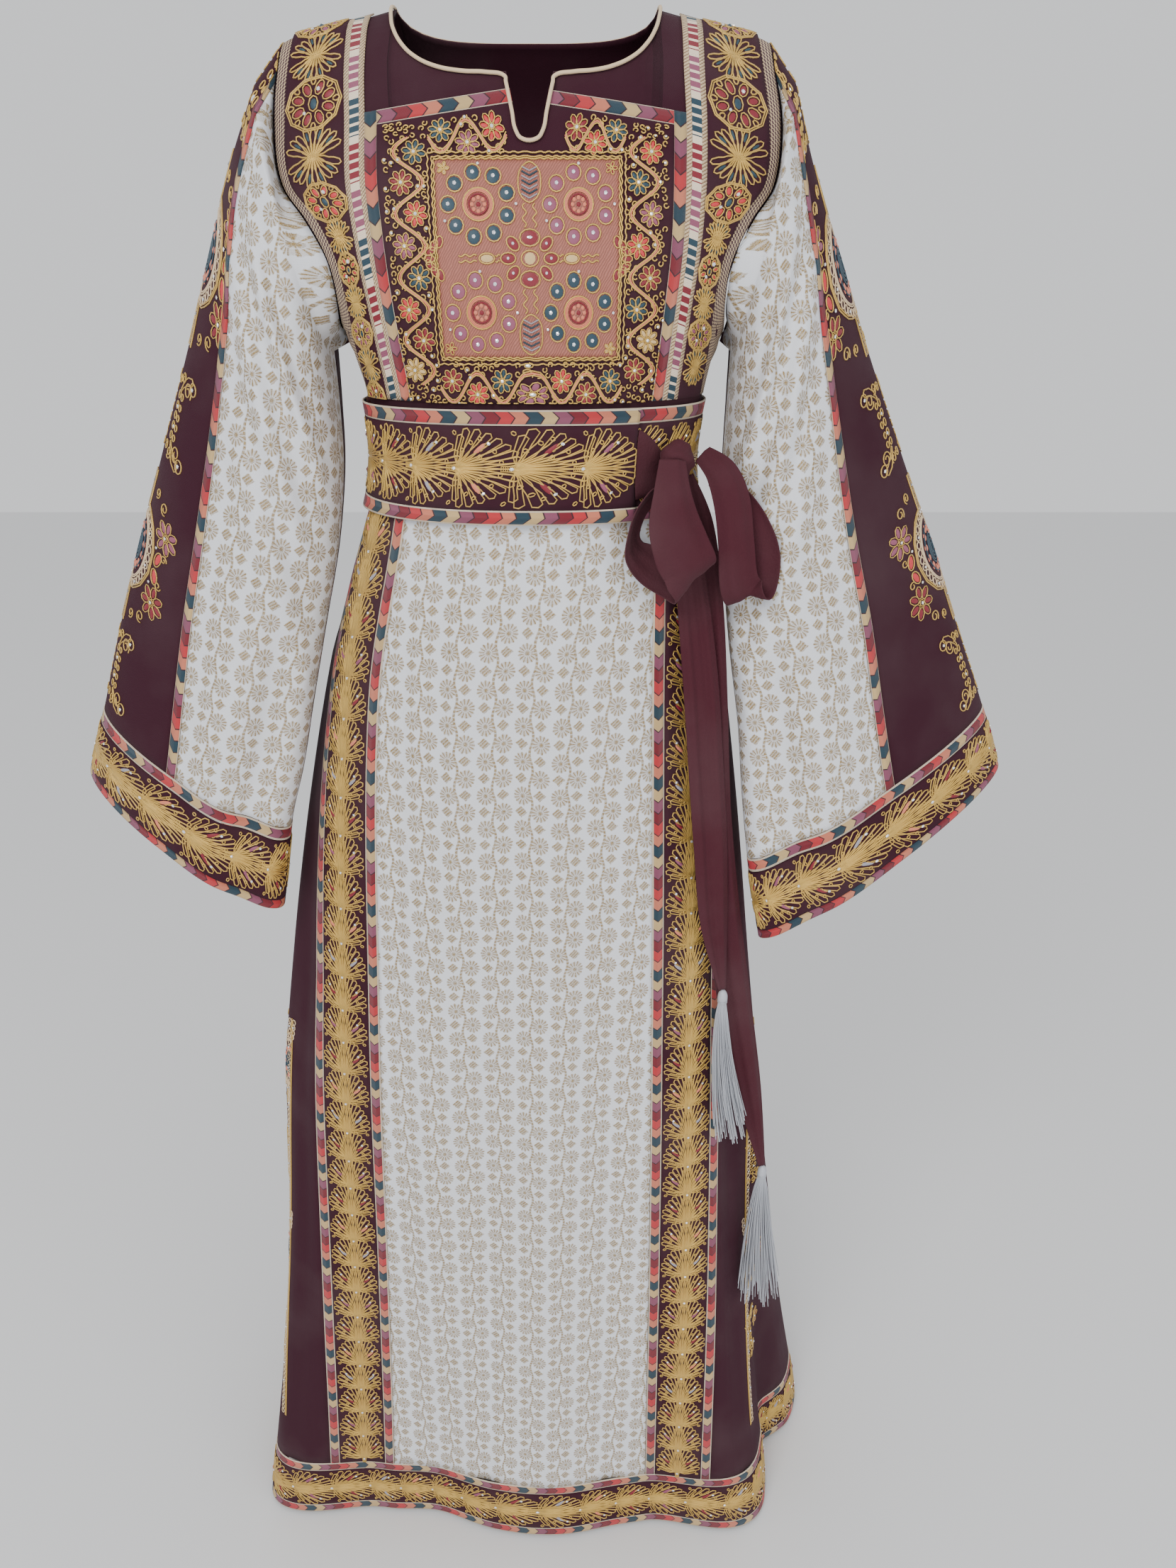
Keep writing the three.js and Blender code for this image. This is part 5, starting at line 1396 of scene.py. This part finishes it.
class Needlework:
    """Collects the cords, petals and stones of one panel and makes two objects from them."""

    def __init__(self, panel, lift=0.0, straighten=None):
        self.panel, self.lift, self.straighten = panel, lift, straighten
        self.cords, self.petals, self.stones = [], [], []

    def place(self, across_cloth, down_cloth, off):
        """Points on the cloth from metres across and down, moved out."""
        if self.panel.length_across:
            across_cloth, down_cloth = down_cloth, across_cloth + self.panel.length / 2
        if self.straighten:
            across_cloth, down_cloth = self.straighten(across_cloth, down_cloth)
        return self.panel.spot(across_cloth, down_cloth, off + self.lift)

    def cord(self, points, colour="gold", closed=False, thick=1.0):
        self.cords.append((np.array(points, float), colour, closed, thick))

    def petal(self, centre, angle, long, wide, colour, high=0.0009):
        """A low dome; `high` is its height in metres."""
        self.petals.append((centre, angle, long, wide, colour, high))

    def stone(self, u, v, size=0.0013):
        self.stones.append((u, v, size))

    def make(self):
        """Makes one object of all cords, and one of all petals and stones."""
        name = self.panel.name
        colours = sorted({cord[1] for cord in self.cords})
        curve = tubes(f"cords_{name}", CORD, 0)
        for colour in colours:
            curve.materials.append(THREADS[colour])
        if self.cords:
            ends = np.cumsum([len(points) for points, *_ in self.cords])
            flat = np.concatenate([points for points, *_ in self.cords])
            spots = self.place(flat[:, 0], flat[:, 1], 0.00035)
            for (points, colour, closed, thick), end in zip(self.cords, ends):
                line = curve.splines.new("POLY")
                line.points.add(len(points) - 1)
                part = np.ones((len(points), 4))
                part[:, :3] = spots[end - len(points):end]
                line.points.foreach_set("co", part.ravel())
                line.points.foreach_set("radius", np.full(len(points), thick))
                line.use_cyclic_u, line.use_smooth = closed, True
                line.material_index = colours.index(colour)
            item = add_object(f"cords_{name}", curve)
            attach(item, "root")
        if not self.petals and not self.stones:
            return
        bm = bmesh.new()
        u, v, off = [], [], []
        palette = sorted({petal[4] for petal in self.petals} | {"stone"})
        for (cu, cv), angle, long, wide, colour, high in self.petals:
            disc = bmesh.ops.create_circle(bm, cap_ends=True, cap_tris=True, segments=9, radius=1)["verts"]
            cosine, sine = math.cos(angle), math.sin(angle)
            for vertex in disc:
                x, y, _ = vertex.co
                dx, dy = x * long / 2, y * wide / 2
                u.append(cu + dx * cosine - dy * sine)
                v.append(cv + dx * sine + dy * cosine)
                off.append(high * (1 - x * x - y * y) + 0.0002)
            for face in {f for vertex in disc for f in vertex.link_faces}:
                face.material_index, face.smooth = palette.index(colour), True
        for cu, cv, size in self.stones:
            bead = bmesh.ops.create_icosphere(bm, subdivisions=1, radius=1)["verts"]
            for vertex in bead:
                x, y, z = vertex.co
                u.append(cu + x * size)
                v.append(cv + y * size)
                off.append(0.0011 + z * size * 0.6)
            for face in {f for vertex in bead for f in vertex.link_faces}:
                face.material_index = palette.index("stone")
        spots = self.place(np.array(u), np.array(v), np.array(off))
        bm.verts.ensure_lookup_table()
        for vertex, spot in zip(bm.verts, spots):
            vertex.co = spot
        mesh = bpy.data.meshes.new(f"silk_{name}")
        bmesh.ops.recalc_face_normals(bm, faces=bm.faces)
        bm.to_mesh(mesh)
        bm.free()
        for colour in palette:
            mesh.materials.append(THREADS[colour])
        item = add_object(f"silk_{name}", mesh)
        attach(item, "root")


# %% Motifs
def turned(points, angle, centre):
    cosine, sine = math.cos(angle), math.sin(angle)
    points = np.array(points, float)
    return np.stack([points[:, 0] * cosine - points[:, 1] * sine + centre[0],
                     points[:, 0] * sine + points[:, 1] * cosine + centre[1]], 1)


def polar(centre, angle, wide, high=None):
    """The point at an angle on a circle, or on an oval of two half widths."""
    return centre[0] + math.cos(angle) * wide, centre[1] + math.sin(angle) * (high or wide)


def ring(work, centre, radius, colour="gold", count=12, thick=1.0, squash=1.0, angle=0.0):
    a = np.linspace(0, CIRCLE, count, endpoint=False)
    points = np.stack([np.cos(a) * radius, np.sin(a) * radius * squash], 1)
    work.cord(turned(points, angle, centre), colour, True, thick)


def lobe(work, start, bend, end, wide, colour="gold", steps=7, thick=1.0, wave=0.00022):
    """A long loop of cord from start to end, wider and round at its end."""
    t = np.linspace(0, 1, steps)[:, None]
    start, bend, end = (np.array(p, float) for p in (start, bend, end))
    centre = (1 - t) ** 2 * start + 2 * t * (1 - t) * bend + t * t * end
    run = np.gradient(centre, axis=0)
    run /= np.maximum(np.linalg.norm(run, axis=1, keepdims=True), 1e-9)
    side = np.stack([-run[:, 1], run[:, 0]], 1)
    zigzag = wave * (-1.0) ** np.arange(steps)[:, None]
    reach = wide / 2 * (0.35 + 0.65 * np.sin(t * math.pi * 0.62)) + zigzag
    tip = centre[-1] + run[-1] * wide * 0.45
    work.cord(np.concatenate([centre + side * reach, tip[None], (centre - side * reach)[::-1]]),
              colour, True, thick)


def flower(work, centre, radius, petals, colour, heart="gold", start=0.0, stone=True):
    """A round flower: silk petals, each in a loop of gold cord, round a ringed stone."""
    for k in range(petals):
        a = start + CIRCLE * k / petals
        spot = polar(centre, a, radius * 0.62)
        work.petal(spot, a, radius * 0.62, radius * 0.30, colour)
        ring(work, spot, radius * 0.40, "gold", 8, 0.8, 0.62, a)
    ring(work, centre, radius * 0.17, heart, 7, 0.9)
    if stone:
        work.stone(*centre)


# Ends of a palmette's lobes on one side: outward share of the half width, share of the pitch
PALMETTE = [(0.09, 1.30), (0.24, 1.28), (0.40, 1.23), (0.56, 1.14), (0.71, 1.02), (0.84, 0.87),
            (0.94, 0.69), (0.96, 0.49), (0.80, 0.35)]
KNOTS = [(0.30, 0.66), (0.50, 0.68), (0.66, 0.52), (0.44, 0.92), (0.46, 0.34), (0.76, 0.70),
         (0.16, 1.02), (0.90, 0.24)]


def palmette(work, v, pitch, half, sliver, dense=True, way=1):
    """A fan of looped gold cord that springs from the band's middle, mirrored across it."""
    for side in (-1, 1):
        for k, (out, down) in enumerate(PALMETTE):
            if not dense and k % 2:
                continue
            start = (side * 0.0009, v + way * 0.0012 * k)
            end = (side * out * half, v + way * down * pitch)
            bend = (side * out * half * 0.30, v + way * down * pitch * (0.64 - 0.03 * k))
            lobe(work, start, bend, end, 0.0039 if dense else 0.0056, steps=5)
        if not dense:
            continue
        for out, down in KNOTS:
            ring(work, (side * out * half, v + way * down * pitch), 0.0015, "gold", 6, 0.9, 0.8)
        work.petal((side * 0.50 * half, v + way * 0.66 * pitch), way * math.pi / 2 - side * way * 0.75,
                   0.34 * pitch, 0.0030, sliver, 0.0019)
        work.stone(side * 0.64 * half, v + way * 0.84 * pitch, 0.0013)
    if dense:
        work.stone(0, v + way * 0.16 * pitch, 0.0014)


SLIVERS = ["crimson", "mauve", "crimson", "grey", "peach"]


def band_of_palmettes(panel, pitch=0.036, start=0.0, way=1, dense=True):
    """Palmettes one after another along a gold band."""
    work = Needlework(panel)
    if panel.length_across:
        total = float(panel.width.mean())
        first, last = -total / 2, total / 2 - 0.3 * pitch
    else:
        first, last = start, panel.length
    count = max(1, round((last - first) / pitch))
    step = (last - first) / count
    for k in range(count):
        at = first + step * k if way > 0 else last - step * k
        half = panel.length / 2
        if not panel.length_across:
            row = int(np.interp(at, panel.v.mean(1), np.arange(len(panel.v))))
            half = float(panel.width[row]) / 2
        palmette(work, at, step * 0.98, half * 0.93, SLIVERS[k % 5], dense, way)
    work.make()


# %% Gold bands of belt, skirt, hem and cuffs
for kind, panel in BELT + HEM:
    if kind == "gold":
        band_of_palmettes(panel, dense="back" not in panel.name)
for name in ("skirt_band_left", "skirt_band_right"):
    band_of_palmettes(SKIRT_PANELS[name], start=0.04, way=-1)
for word in ("left", "right"):
    band_of_palmettes(SLEEVE_PANELS[f"cuff_band_{word}"])
print("bands embroidered")

# %% [markdown]
# ## Chest panel
# A rose square is quartered by wavy gold lines. Each quarter has a rosette of nine ringed silk
# ovals; a crimson flower sits in the middle. Round the square runs a wavy vine with flowers.

# %% Chest panel
SQUARE_HALF, SQUARE_TOP, SQUARE_FOOT = 0.061, 0.031, 0.156
SQUARE_MIDDLE = (SQUARE_TOP + SQUARE_FOOT) / 2


def rose_square():
    """The rose silk ground of the square, a thin cloth on the chest panel."""
    u = np.linspace(-SQUARE_HALF, SQUARE_HALF, 41)[None, :] + np.zeros((41, 1))
    v = np.linspace(SQUARE_TOP, SQUARE_FOOT, 41)[:, None] + np.zeros((1, 41))
    panel = Panel("rose_square", chest.spot(u, v, 0.00035) / MM)
    cloth(panel, ROSE_GROUND, "chest_embroidery", thick=0.0003)


def wavy(work, start, end, waves, high, colour="gold", thick=1.0, steps=None):
    """A waved cord from start to end."""
    start, end = np.array(start, float), np.array(end, float)
    run = end - start
    long = np.linalg.norm(run)
    side = np.array([-run[1], run[0]]) / long
    t = np.linspace(0, 1, steps or int(waves * 8) + 1)[:, None]
    work.cord(start + run * t + side * high * np.sin(CIRCLE * waves * t), colour, False, thick)


def rosette(work, centre, colour):
    """Nine silk ovals in gold rings round a peach ring with pink beads."""
    for k in range(9):
        a = CIRCLE * (k + 0.5) / 9
        spot = polar(centre, a, 0.0205)
        work.petal(spot, a, 0.0094, 0.0088, colour, 0.0012)
        ring(work, spot, 0.0054, "gold", 12)
        work.stone(*spot, 0.0015)
    for radius, tone in ((0.0094, "peach"), (0.0084, "peach"), (0.0104, "gold"), (0.0064, "crimson")):
        ring(work, centre, radius, tone, 20, 1.05)
    for k in range(8):
        a = CIRCLE * k / 8
        work.petal(polar(centre, a, 0.0044), a, 0.0030, 0.0028, "peach", 0.0014)
    work.petal(centre, 0, 0.003, 0.003, "crimson", 0.0015)


def spindle(work, centre, long):
    """Upright leaf of herringbone stitches in an outline of cord."""
    u, v = centre
    a = np.linspace(0, CIRCLE, 18, endpoint=False)
    outline = np.stack([u + 0.0046 * np.sin(a) * abs(np.sin(a)) ** 0.3, v - long / 2 * np.cos(a)], 1)
    work.cord(outline, "gold", True)
    for k in range(-3, 4):
        for side in (-1, 1):
            rise = v + k * long / 9
            work.cord([(u, rise + 0.0016), (u + side * 0.0028, rise - 0.0012)],
                      "grey" if k % 2 else "teal", False, 0.9)


def crimson_star(work, centre):
    """The middle flower: eight crimson petals round a cream heart."""
    for k in range(8):
        a = CIRCLE * k / 8
        spot = polar(centre, a, 0.0118, 0.0128)
        work.petal(spot, a, 0.0088, 0.0056, "crimson", 0.0012)
        ring(work, spot, 0.0053, "gold", 12, 1.0, 0.68, a)
        work.stone(*spot, 0.0011)
    work.petal(centre, math.pi / 2, 0.0078, 0.0040, "cream", 0.0014)
    ring(work, centre, 0.0050, "gold", 14, 1.0, 0.62, math.pi / 2)


def curls(work, u0, u1, v0, v1, taken, count, radius=0.0021):
    """Small open curls of cord that fill the ground between larger motifs."""
    placed = list(taken)
    for _ in range(count * 12):
        if count <= 0:
            break
        u, v = RANDOM.uniform(u0, u1), RANDOM.uniform(v0, v1)
        if any(math.hypot(u - x, v - y) < r + radius for x, y, r in placed):
            continue
        start = RANDOM.uniform(0, 6.3)
        a = start + np.linspace(0, 5.2, 9)
        size = radius * np.linspace(0.95, 0.55, 9)
        work.cord(np.stack([u + size * np.cos(a), v + size * np.sin(a)], 1), "gold", False, 0.9)
        placed.append((u, v, radius * 0.9))
        count -= 1
    return placed


BORDER_COLOURS = ["cream", "crimson", "coral", "teal", "mauve", "coral", "crimson", "teal"]


def border_side(work, start, end, flowers, first):
    """One side of the border: a peach and gold vine with a flower in each of its hollows."""
    start, end = np.array(start, float), np.array(end, float)
    run = end - start
    long = np.linalg.norm(run)
    side = np.array([-run[1], run[0]]) / long
    for shift, tone in ((0.0009, "gold"), (0.0, "peach"), (-0.0009, "gold"), (0.0002, "peach")):
        wavy(work, start + side * shift * 1.6, end + side * shift * 1.6, flowers / 2, 0.0100, tone, 0.95,
             flowers * 7)
    spots = []
    for k in range(flowers):
        t = (k + 0.5) / flowers
        bump = -1 if k % 2 == 0 else 1
        spot = start + run * t + side * bump * 0.0045
        flower(work, tuple(spot), 0.0083, 8, BORDER_COLOURS[(first + k) % len(BORDER_COLOURS)],
               "gold", 0.2)
        spots.append((spot[0], spot[1], 0.0090))
    return spots


def chest_needlework():
    rose_square()
    work = Needlework(chest, 0.0004)
    m = SQUARE_MIDDLE
    quarter_u, quarter_v, oval_u = 0.0315, 0.0335, 0.0265
    for su, sv, tone in ((-1, -1, "teal"), (1, -1, "mauve"), (-1, 1, "mauve"), (1, 1, "teal")):
        rosette(work, (su * quarter_u, m + sv * quarter_v), tone)
        corner = (su * (SQUARE_HALF - 0.006), m + sv * (SQUARE_FOOT - m - 0.006))
        flower(work, corner, 0.0042, 5, "cream" if su == sv else "crimson", stone=False)
        for du, dv in ((0.0, -0.029), (0.029, 0.0), (-0.026, 0.012)):
            work.stone(su * quarter_u + du * 0.88, m + sv * quarter_v + dv * 0.88, 0.0011)
    crimson_star(work, (0, m))
    for side in (-1, 1):
        work.petal((side * oval_u, m), 0, 0.0090, 0.0050, "cream", 0.0012)
        ring(work, (side * oval_u, m), 0.0054, "gold", 14, 1.0, 0.6)
        for k in range(-3, 4):
            a = math.pi * (0.5 + side * 0.5) + k * 0.45
            spot = (side * (SQUARE_HALF - 0.004) - math.cos(a) * 0.0095, m + math.sin(a) * 0.0105)
            work.petal(spot, a, 0.0062, 0.0034, "crimson")
            ring(work, spot, 0.0038, "gold", 9, 0.9, 0.62, a)
        spindle(work, (0, m + side * 0.0475), 0.026)
        for shift in (-0.0018, 0.0018):
            wavy(work, (shift, m + side * 0.019), (shift, m + side * 0.034), 2, 0.0007)
            wavy(work, (side * 0.0335, m + shift), (side * 0.046, m + shift), 2, 0.0007)
            wavy(work, (side * 0.0175, m + shift), (side * 0.0205, m + shift), 1, 0.0006)
    for off in (0.0, 0.0014, 0.0042):
        h, t, f = SQUARE_HALF + off, SQUARE_TOP - off, SQUARE_FOOT + off
        for a, b in (((-h, t), (h, t)), ((h, t), (h, f)), ((h, f), (-h, f)), ((-h, f), (-h, t))):
            wavy(work, a, b, 22, 0.0005, "gold", 1.0, 90)
    left, top, foot = -0.0790, 0.0165, 0.1745
    corner, low = left + 0.014, foot + 0.0015
    taken = []
    for start, end, flowers, first in (
            ((left, foot), (left, top), 8, 0), ((-left, top), (-left, foot), 8, 2),
            ((corner, low), (-corner, low), 7, 1), ((corner, top), (-0.012, top - 0.001), 3, 3),
            ((0.022, top - 0.001), (-corner, top), 3, 1)):
        taken += border_side(work, start, end, flowers, first)
    for u0, u1, v0, v1, count in ((-0.0945, -0.066, 0.004, 0.188, 120), (0.066, 0.0945, 0.004, 0.188, 120),
                                  (-0.064, 0.064, 0.160, 0.189, 80), (-0.064, -0.014, 0.004, 0.0265, 30),
                                  (0.024, 0.064, 0.004, 0.0265, 26)):
        placed = curls(work, u0, u1, v0, v1, taken, count)
        for u, v, _ in placed[len(taken)::5]:
            work.stone(u, v, 0.0011)
    work.make()


chest_needlework()
print("chest embroidered")

# %% [markdown]
# ## Shoulder bands
# Oval medallions of eight silk petals round a teal one alternate with fans of cord with teal
# slots. They narrow with the band towards the belt.

# %% Shoulder bands
def medallion(work, v, wide, long, tone):
    """An oval ring of eight silk petals round a teal one."""
    half = wide / 2
    for radius in (1.0, 0.93):
        a = np.linspace(0, CIRCLE, 30, endpoint=False)
        scallop = radius * (1 + 0.035 * np.cos(10 * a))
        work.cord(np.stack([half * scallop * np.cos(a), v + long / 2 * scallop * np.sin(a)], 1),
                  "gold", True)
    for k in range(8):
        a = CIRCLE * (k + 0.5) / 8
        spot = (half * 0.60 * math.cos(a), v + long / 2 * 0.60 * math.sin(a))
        turn = math.atan2(long * math.sin(a), wide * math.cos(a))
        work.petal(spot, turn, wide * 0.17, wide * 0.10, tone, 0.0011)
        ring(work, spot, wide * 0.115, "gold", 9, 0.9, 0.62, turn)
        between = [(half * r * math.cos(a + 0.39), v + long / 2 * r * math.sin(a + 0.39))
                   for r in (0.72, 0.8, 0.88)]
        lobe(work, *between, wide * 0.08)
    work.petal((0, v), math.pi / 2, wide * 0.17, wide * 0.12, "teal", 0.0014)
    ring(work, (0, v), wide * 0.12, "gold", 8, 0.9, 0.72, math.pi / 2)
    work.stone(half * 0.2, v - long * 0.24, 0.0016)
    work.stone(-half * 0.3, v + long * 0.16, 0.0013)


def fan(work, v, wide, long):
    """Two fans back to back, of long loops of cord, every second one round a teal slot."""
    half = wide / 2
    for down in (-1, 1):
        for k in range(9):
            a = math.radians(-68 + 17 * k)
            tip = (half * 0.98 * math.sin(a), v + down * long * 0.47 * math.cos(a) * (1 if k % 2 else 0.9))
            bend = (tip[0] * 0.4, v + (tip[1] - v) * 0.5)
            lobe(work, (0.0008 * (k - 4), v), bend, tip, wide * 0.085, steps=6)
            if k % 2:
                work.petal((tip[0] * 0.74, v + (tip[1] - v) * 0.74), math.atan2(tip[1] - v, tip[0]),
                           wide * 0.15, wide * 0.045, "teal", 0.0013)


for side, word in SIDES:
    panel = [p for kind, p in TRIMS if p.name == f"shoulder_band_{word}"][0]
    work = Needlework(panel)
    v, k = 0.004, 0
    tones = ["mauve", "crimson", "coral", "coral", "mauve", "crimson", "coral"]
    while v < panel.length - 0.012:
        row = int(np.interp(v + 0.015, panel.v.mean(1), np.arange(len(panel.v))))
        wide = float(panel.width[row]) * 0.93
        long = float(np.clip(wide * 0.82, 0.022, 0.036))
        if k % 2 == 0:
            medallion(work, v + long / 2, wide, long, tones[(k // 2) % len(tones)])
        else:
            fan(work, v + long / 2, wide, long * 1.12)
        v += long * 0.97
        k += 1
    work.make()
print("shoulder bands embroidered")

# %% [markdown]
# ## Scrollwork of sleeves and skirt sides
# Down the outer line of each sleeve run two cords with a chain of beige rings, half medallions
# of teal silk, flowers and scrolls of gold cord. The lower skirt sides carry the same scrolls.

# %% Scrollwork
def spiral(work, centre, size, start, turns=1.5, way=1):
    """A scroll of gold cord that winds inwards."""
    a = np.linspace(0, CIRCLE * turns, int(12 * turns) + 2)
    radius = size * (1 - 0.72 * a / a[-1])
    points = np.stack([centre[0] + radius * np.cos(start + way * a),
                       centre[1] + radius * np.sin(start + way * a)], 1)
    work.cord(points)


def ring_chain(work, path, size=0.0030):
    """Beige rings side by side along a path of points, with a stone in every fourth."""
    path = np.array(path, float)
    run = np.concatenate([[0], np.cumsum(np.linalg.norm(np.diff(path, axis=0), axis=1))])
    count = int(run[-1] / (2 * size))
    for k in range(count):
        at = (k + 0.5) * run[-1] / count
        spot = (np.interp(at, run, path[:, 0]), np.interp(at, run, path[:, 1]))
        ring(work, spot, size * 0.92, "beige", 9, 0.9)
        if k % 4 == 1:
            work.stone(*spot, 0.0012)


def outline_path(u, v, bulge, flat, way):
    """Straight line down the cloth that swells out round a half medallion."""
    a = np.linspace(-math.pi / 2, math.pi / 2, 13)
    arc = np.stack([u + way * bulge * np.cos(a), v + bulge * 1.15 * np.sin(a)], 1)
    return np.concatenate([[(u, v - flat)], arc, [(u, v + flat)]])


def half_medallion(work, u, v, way, flat=0.062):
    """Teal half disc with peach ovals, framed by cords and rings, that faces across the cloth."""
    for radius, tone in ((0.0235, "beige"), (0.0222, "beige"), (0.0168, "teal"), (0.0105, "teal"),
                         (0.0085, "teal"), (0.0060, "teal"), (0.0036, "teal")):
        a = np.linspace(-math.pi / 2, math.pi / 2, 15)
        work.cord(np.stack([u + way * radius * np.cos(a), v + 1.15 * radius * np.sin(a)], 1), tone,
                  False, 1.1)
    for k in range(6):
        a = math.radians(-75 + 30 * k)
        spot = (u + way * 0.0150 * math.cos(a), v + 0.0172 * math.sin(a))
        work.petal(spot, math.atan2(math.sin(a), way * math.cos(a)), 0.0072, 0.0056, "peach", 0.0013)
    ring_chain(work, outline_path(u, v, 0.0275, flat, way))
    for bulge in (0.0318, 0.0334):
        path = outline_path(u + way * 0.0045, v, bulge - 0.004, flat, way)
        zigzag = np.array([0.0004, 0]) * (-1.0) ** np.arange(len(path))[:, None]
        work.cord(path + zigzag, "gold", False, 1.1)
    for side in (-1, 1):
        def at(ahead, down):
            return u + way * ahead, v + side * down

        flower(work, at(0.043, 0.027), 0.0128, 7, "mauve" if side < 0 else "crimson", "gold", 0.3)
        spiral(work, at(0.034, 0.045), 0.0050, 1.0, 1.4, way)
        spiral(work, at(0.020, 0.050), 0.0042, 2.0, 1.4, -way)
        work.petal(at(0.040, 0.0068), 1.2 * side, 0.0100, 0.0050, "coral", 0.0012)
        ring(work, at(0.040, 0.0068), 0.0060, "gold", 12, 1.0, 0.62, 1.2 * side)
        spiral(work, at(0.046, 0.0105), 0.0036, 0.0, 1.2, way * side)
        work.stone(*at(0.036, 0.014), 0.0012)


def scroll_cluster(work, u, v, way):
    """Cluster of scrolls of gold cord with a ladder of rings in its middle."""
    tall = 0.036
    for k in range(5):
        rise = v + (k - 2) * tall / 5
        ring(work, (u + way * 0.010, rise), 0.0026, "gold", 9)
        ring(work, (u + way * 0.0165, rise), 0.0022, "gold", 9)
        if k % 2:
            work.stone(u + way * 0.013, rise, 0.0013)
    for side in (-1, 1):
        def at(ahead, down):
            return u + way * ahead, v + side * (tall / 2 + down)

        spiral(work, at(0.024, 0.004), 0.0062, 0.5, 1.5, way * side)
        spiral(work, at(0.013, 0.008), 0.0046, 2.4, 1.4, -way * side)
        spiral(work, at(0.004, 0.006), 0.0040, 3.4, 1.3, way * side)
        lobe(work, at(0.012, 0), at(0.018, 0.010), at(0.028, 0.012), 0.0050)
        ring(work, at(0.031, 0.009), 0.0042, "gold", 11)
        work.stone(*at(0.031, 0.009), 0.0014)


def sleeve_scrolls(side, word):
    """Scrollwork in front of and behind the outer line of a sleeve."""
    panel = SLEEVE_PANELS[f"sleeve_outer_{word}"]
    rows, columns = panel.p.shape[:2]
    seam = sleeve_columns(side, np.maximum(SLEEVE_ROWS, 0))[..., 7] - 5
    share = 180 / (180 + seam) if side < 0 else seam / (180 + seam)
    column = np.clip(share * (columns - 1), 0, columns - 2)
    near = column.astype(int)
    order = np.arange(rows)
    over = panel.p[order, near + 1] - panel.p[order, near]
    down = np.gradient(panel.p, axis=0)[order, near]
    forward = -0.016 * np.sign(over[rows // 2:, 1].mean())
    line_u = np.array([np.interp(c, np.arange(columns), u) for c, u in zip(column, panel.u)]) + forward
    over /= np.linalg.norm(over, axis=1, keepdims=True)
    down /= np.linalg.norm(down, axis=1, keepdims=True)
    lean = (over * down).sum(1)
    lengths = panel.v.mean(1)

    def line(v):
        return np.interp(v, lengths, line_u)

    def straighten(u, v):
        """Keeps motifs square where the rows of the grid lean against the sleeve's line."""
        cosine = np.interp(v, lengths, lean)
        sine = np.sqrt(1 - cosine**2)
        away = u - line(v)
        moved = v - away * cosine / sine
        return line(moved) + away / sine, moved

    work = Needlework(panel, straighten=straighten)
    end = panel.length - 0.014
    for way in (-1, 1):
        for mark in (end - 0.128, end - 0.345):
            half_medallion(work, float(line(mark)), mark, way)
        for mark in (end - 0.030, end - 0.236, end - 0.450):
            scroll_cluster(work, float(line(mark)) + way * 0.004, mark, way)
    work.make()


def skirt_scrolls(name, way, first, last):
    """Scrollwork beside the outer braid on a lower skirt side."""
    panel = SKIRT_PANELS[name]
    work = Needlework(panel)
    edge = np.interp(np.linspace(first, last, 40), panel.v.mean(1), panel.width / 2)
    spots = np.linspace(first, last, 40)
    inner = [(-way * (e - 0.045), v) for e, v in zip(edge, spots)]
    for shift in (0.0, 0.0016):
        work.cord([(u + shift, v) for u, v in inner], "gold", False, 1.0)
    ring_chain(work, [(u + way * 0.0045, v) for u, v in inner])
    for k, v in enumerate(np.arange(first + 0.05, last - 0.03, 0.118)):
        u = float(np.interp(v, spots, [p[0] for p in inner]))
        if k % 2 == 0:
            half_medallion(work, u, float(v), way, 0.052)
        else:
            scroll_cluster(work, u, float(v), way)
            flower(work, (u + way * 0.046, float(v)), 0.0120, 6, "crimson", "gold", 0.1)
    work.make()


sleeve_scrolls(-1, "left")
sleeve_scrolls(1, "right")
skirt_scrolls("skirt_side_left", -1, 0.55, 1.06)
skirt_scrolls("skirt_side_right", 1, 0.55, 1.06)
print("scrollwork made")

# %% Finish
graph = bpy.context.evaluated_depsgraph_get()
total = {}
for item in bpy.context.scene.objects:
    if item.type in {"MESH", "CURVE"} and not item.hide_render:
        mesh = item.evaluated_get(graph).to_mesh()
        mesh.calc_loop_triangles()
        total[item.name] = len(mesh.loop_triangles)
print(len(total), "pieces,", sum(total.values()), "triangles, at most", max(total.values()), "a piece")
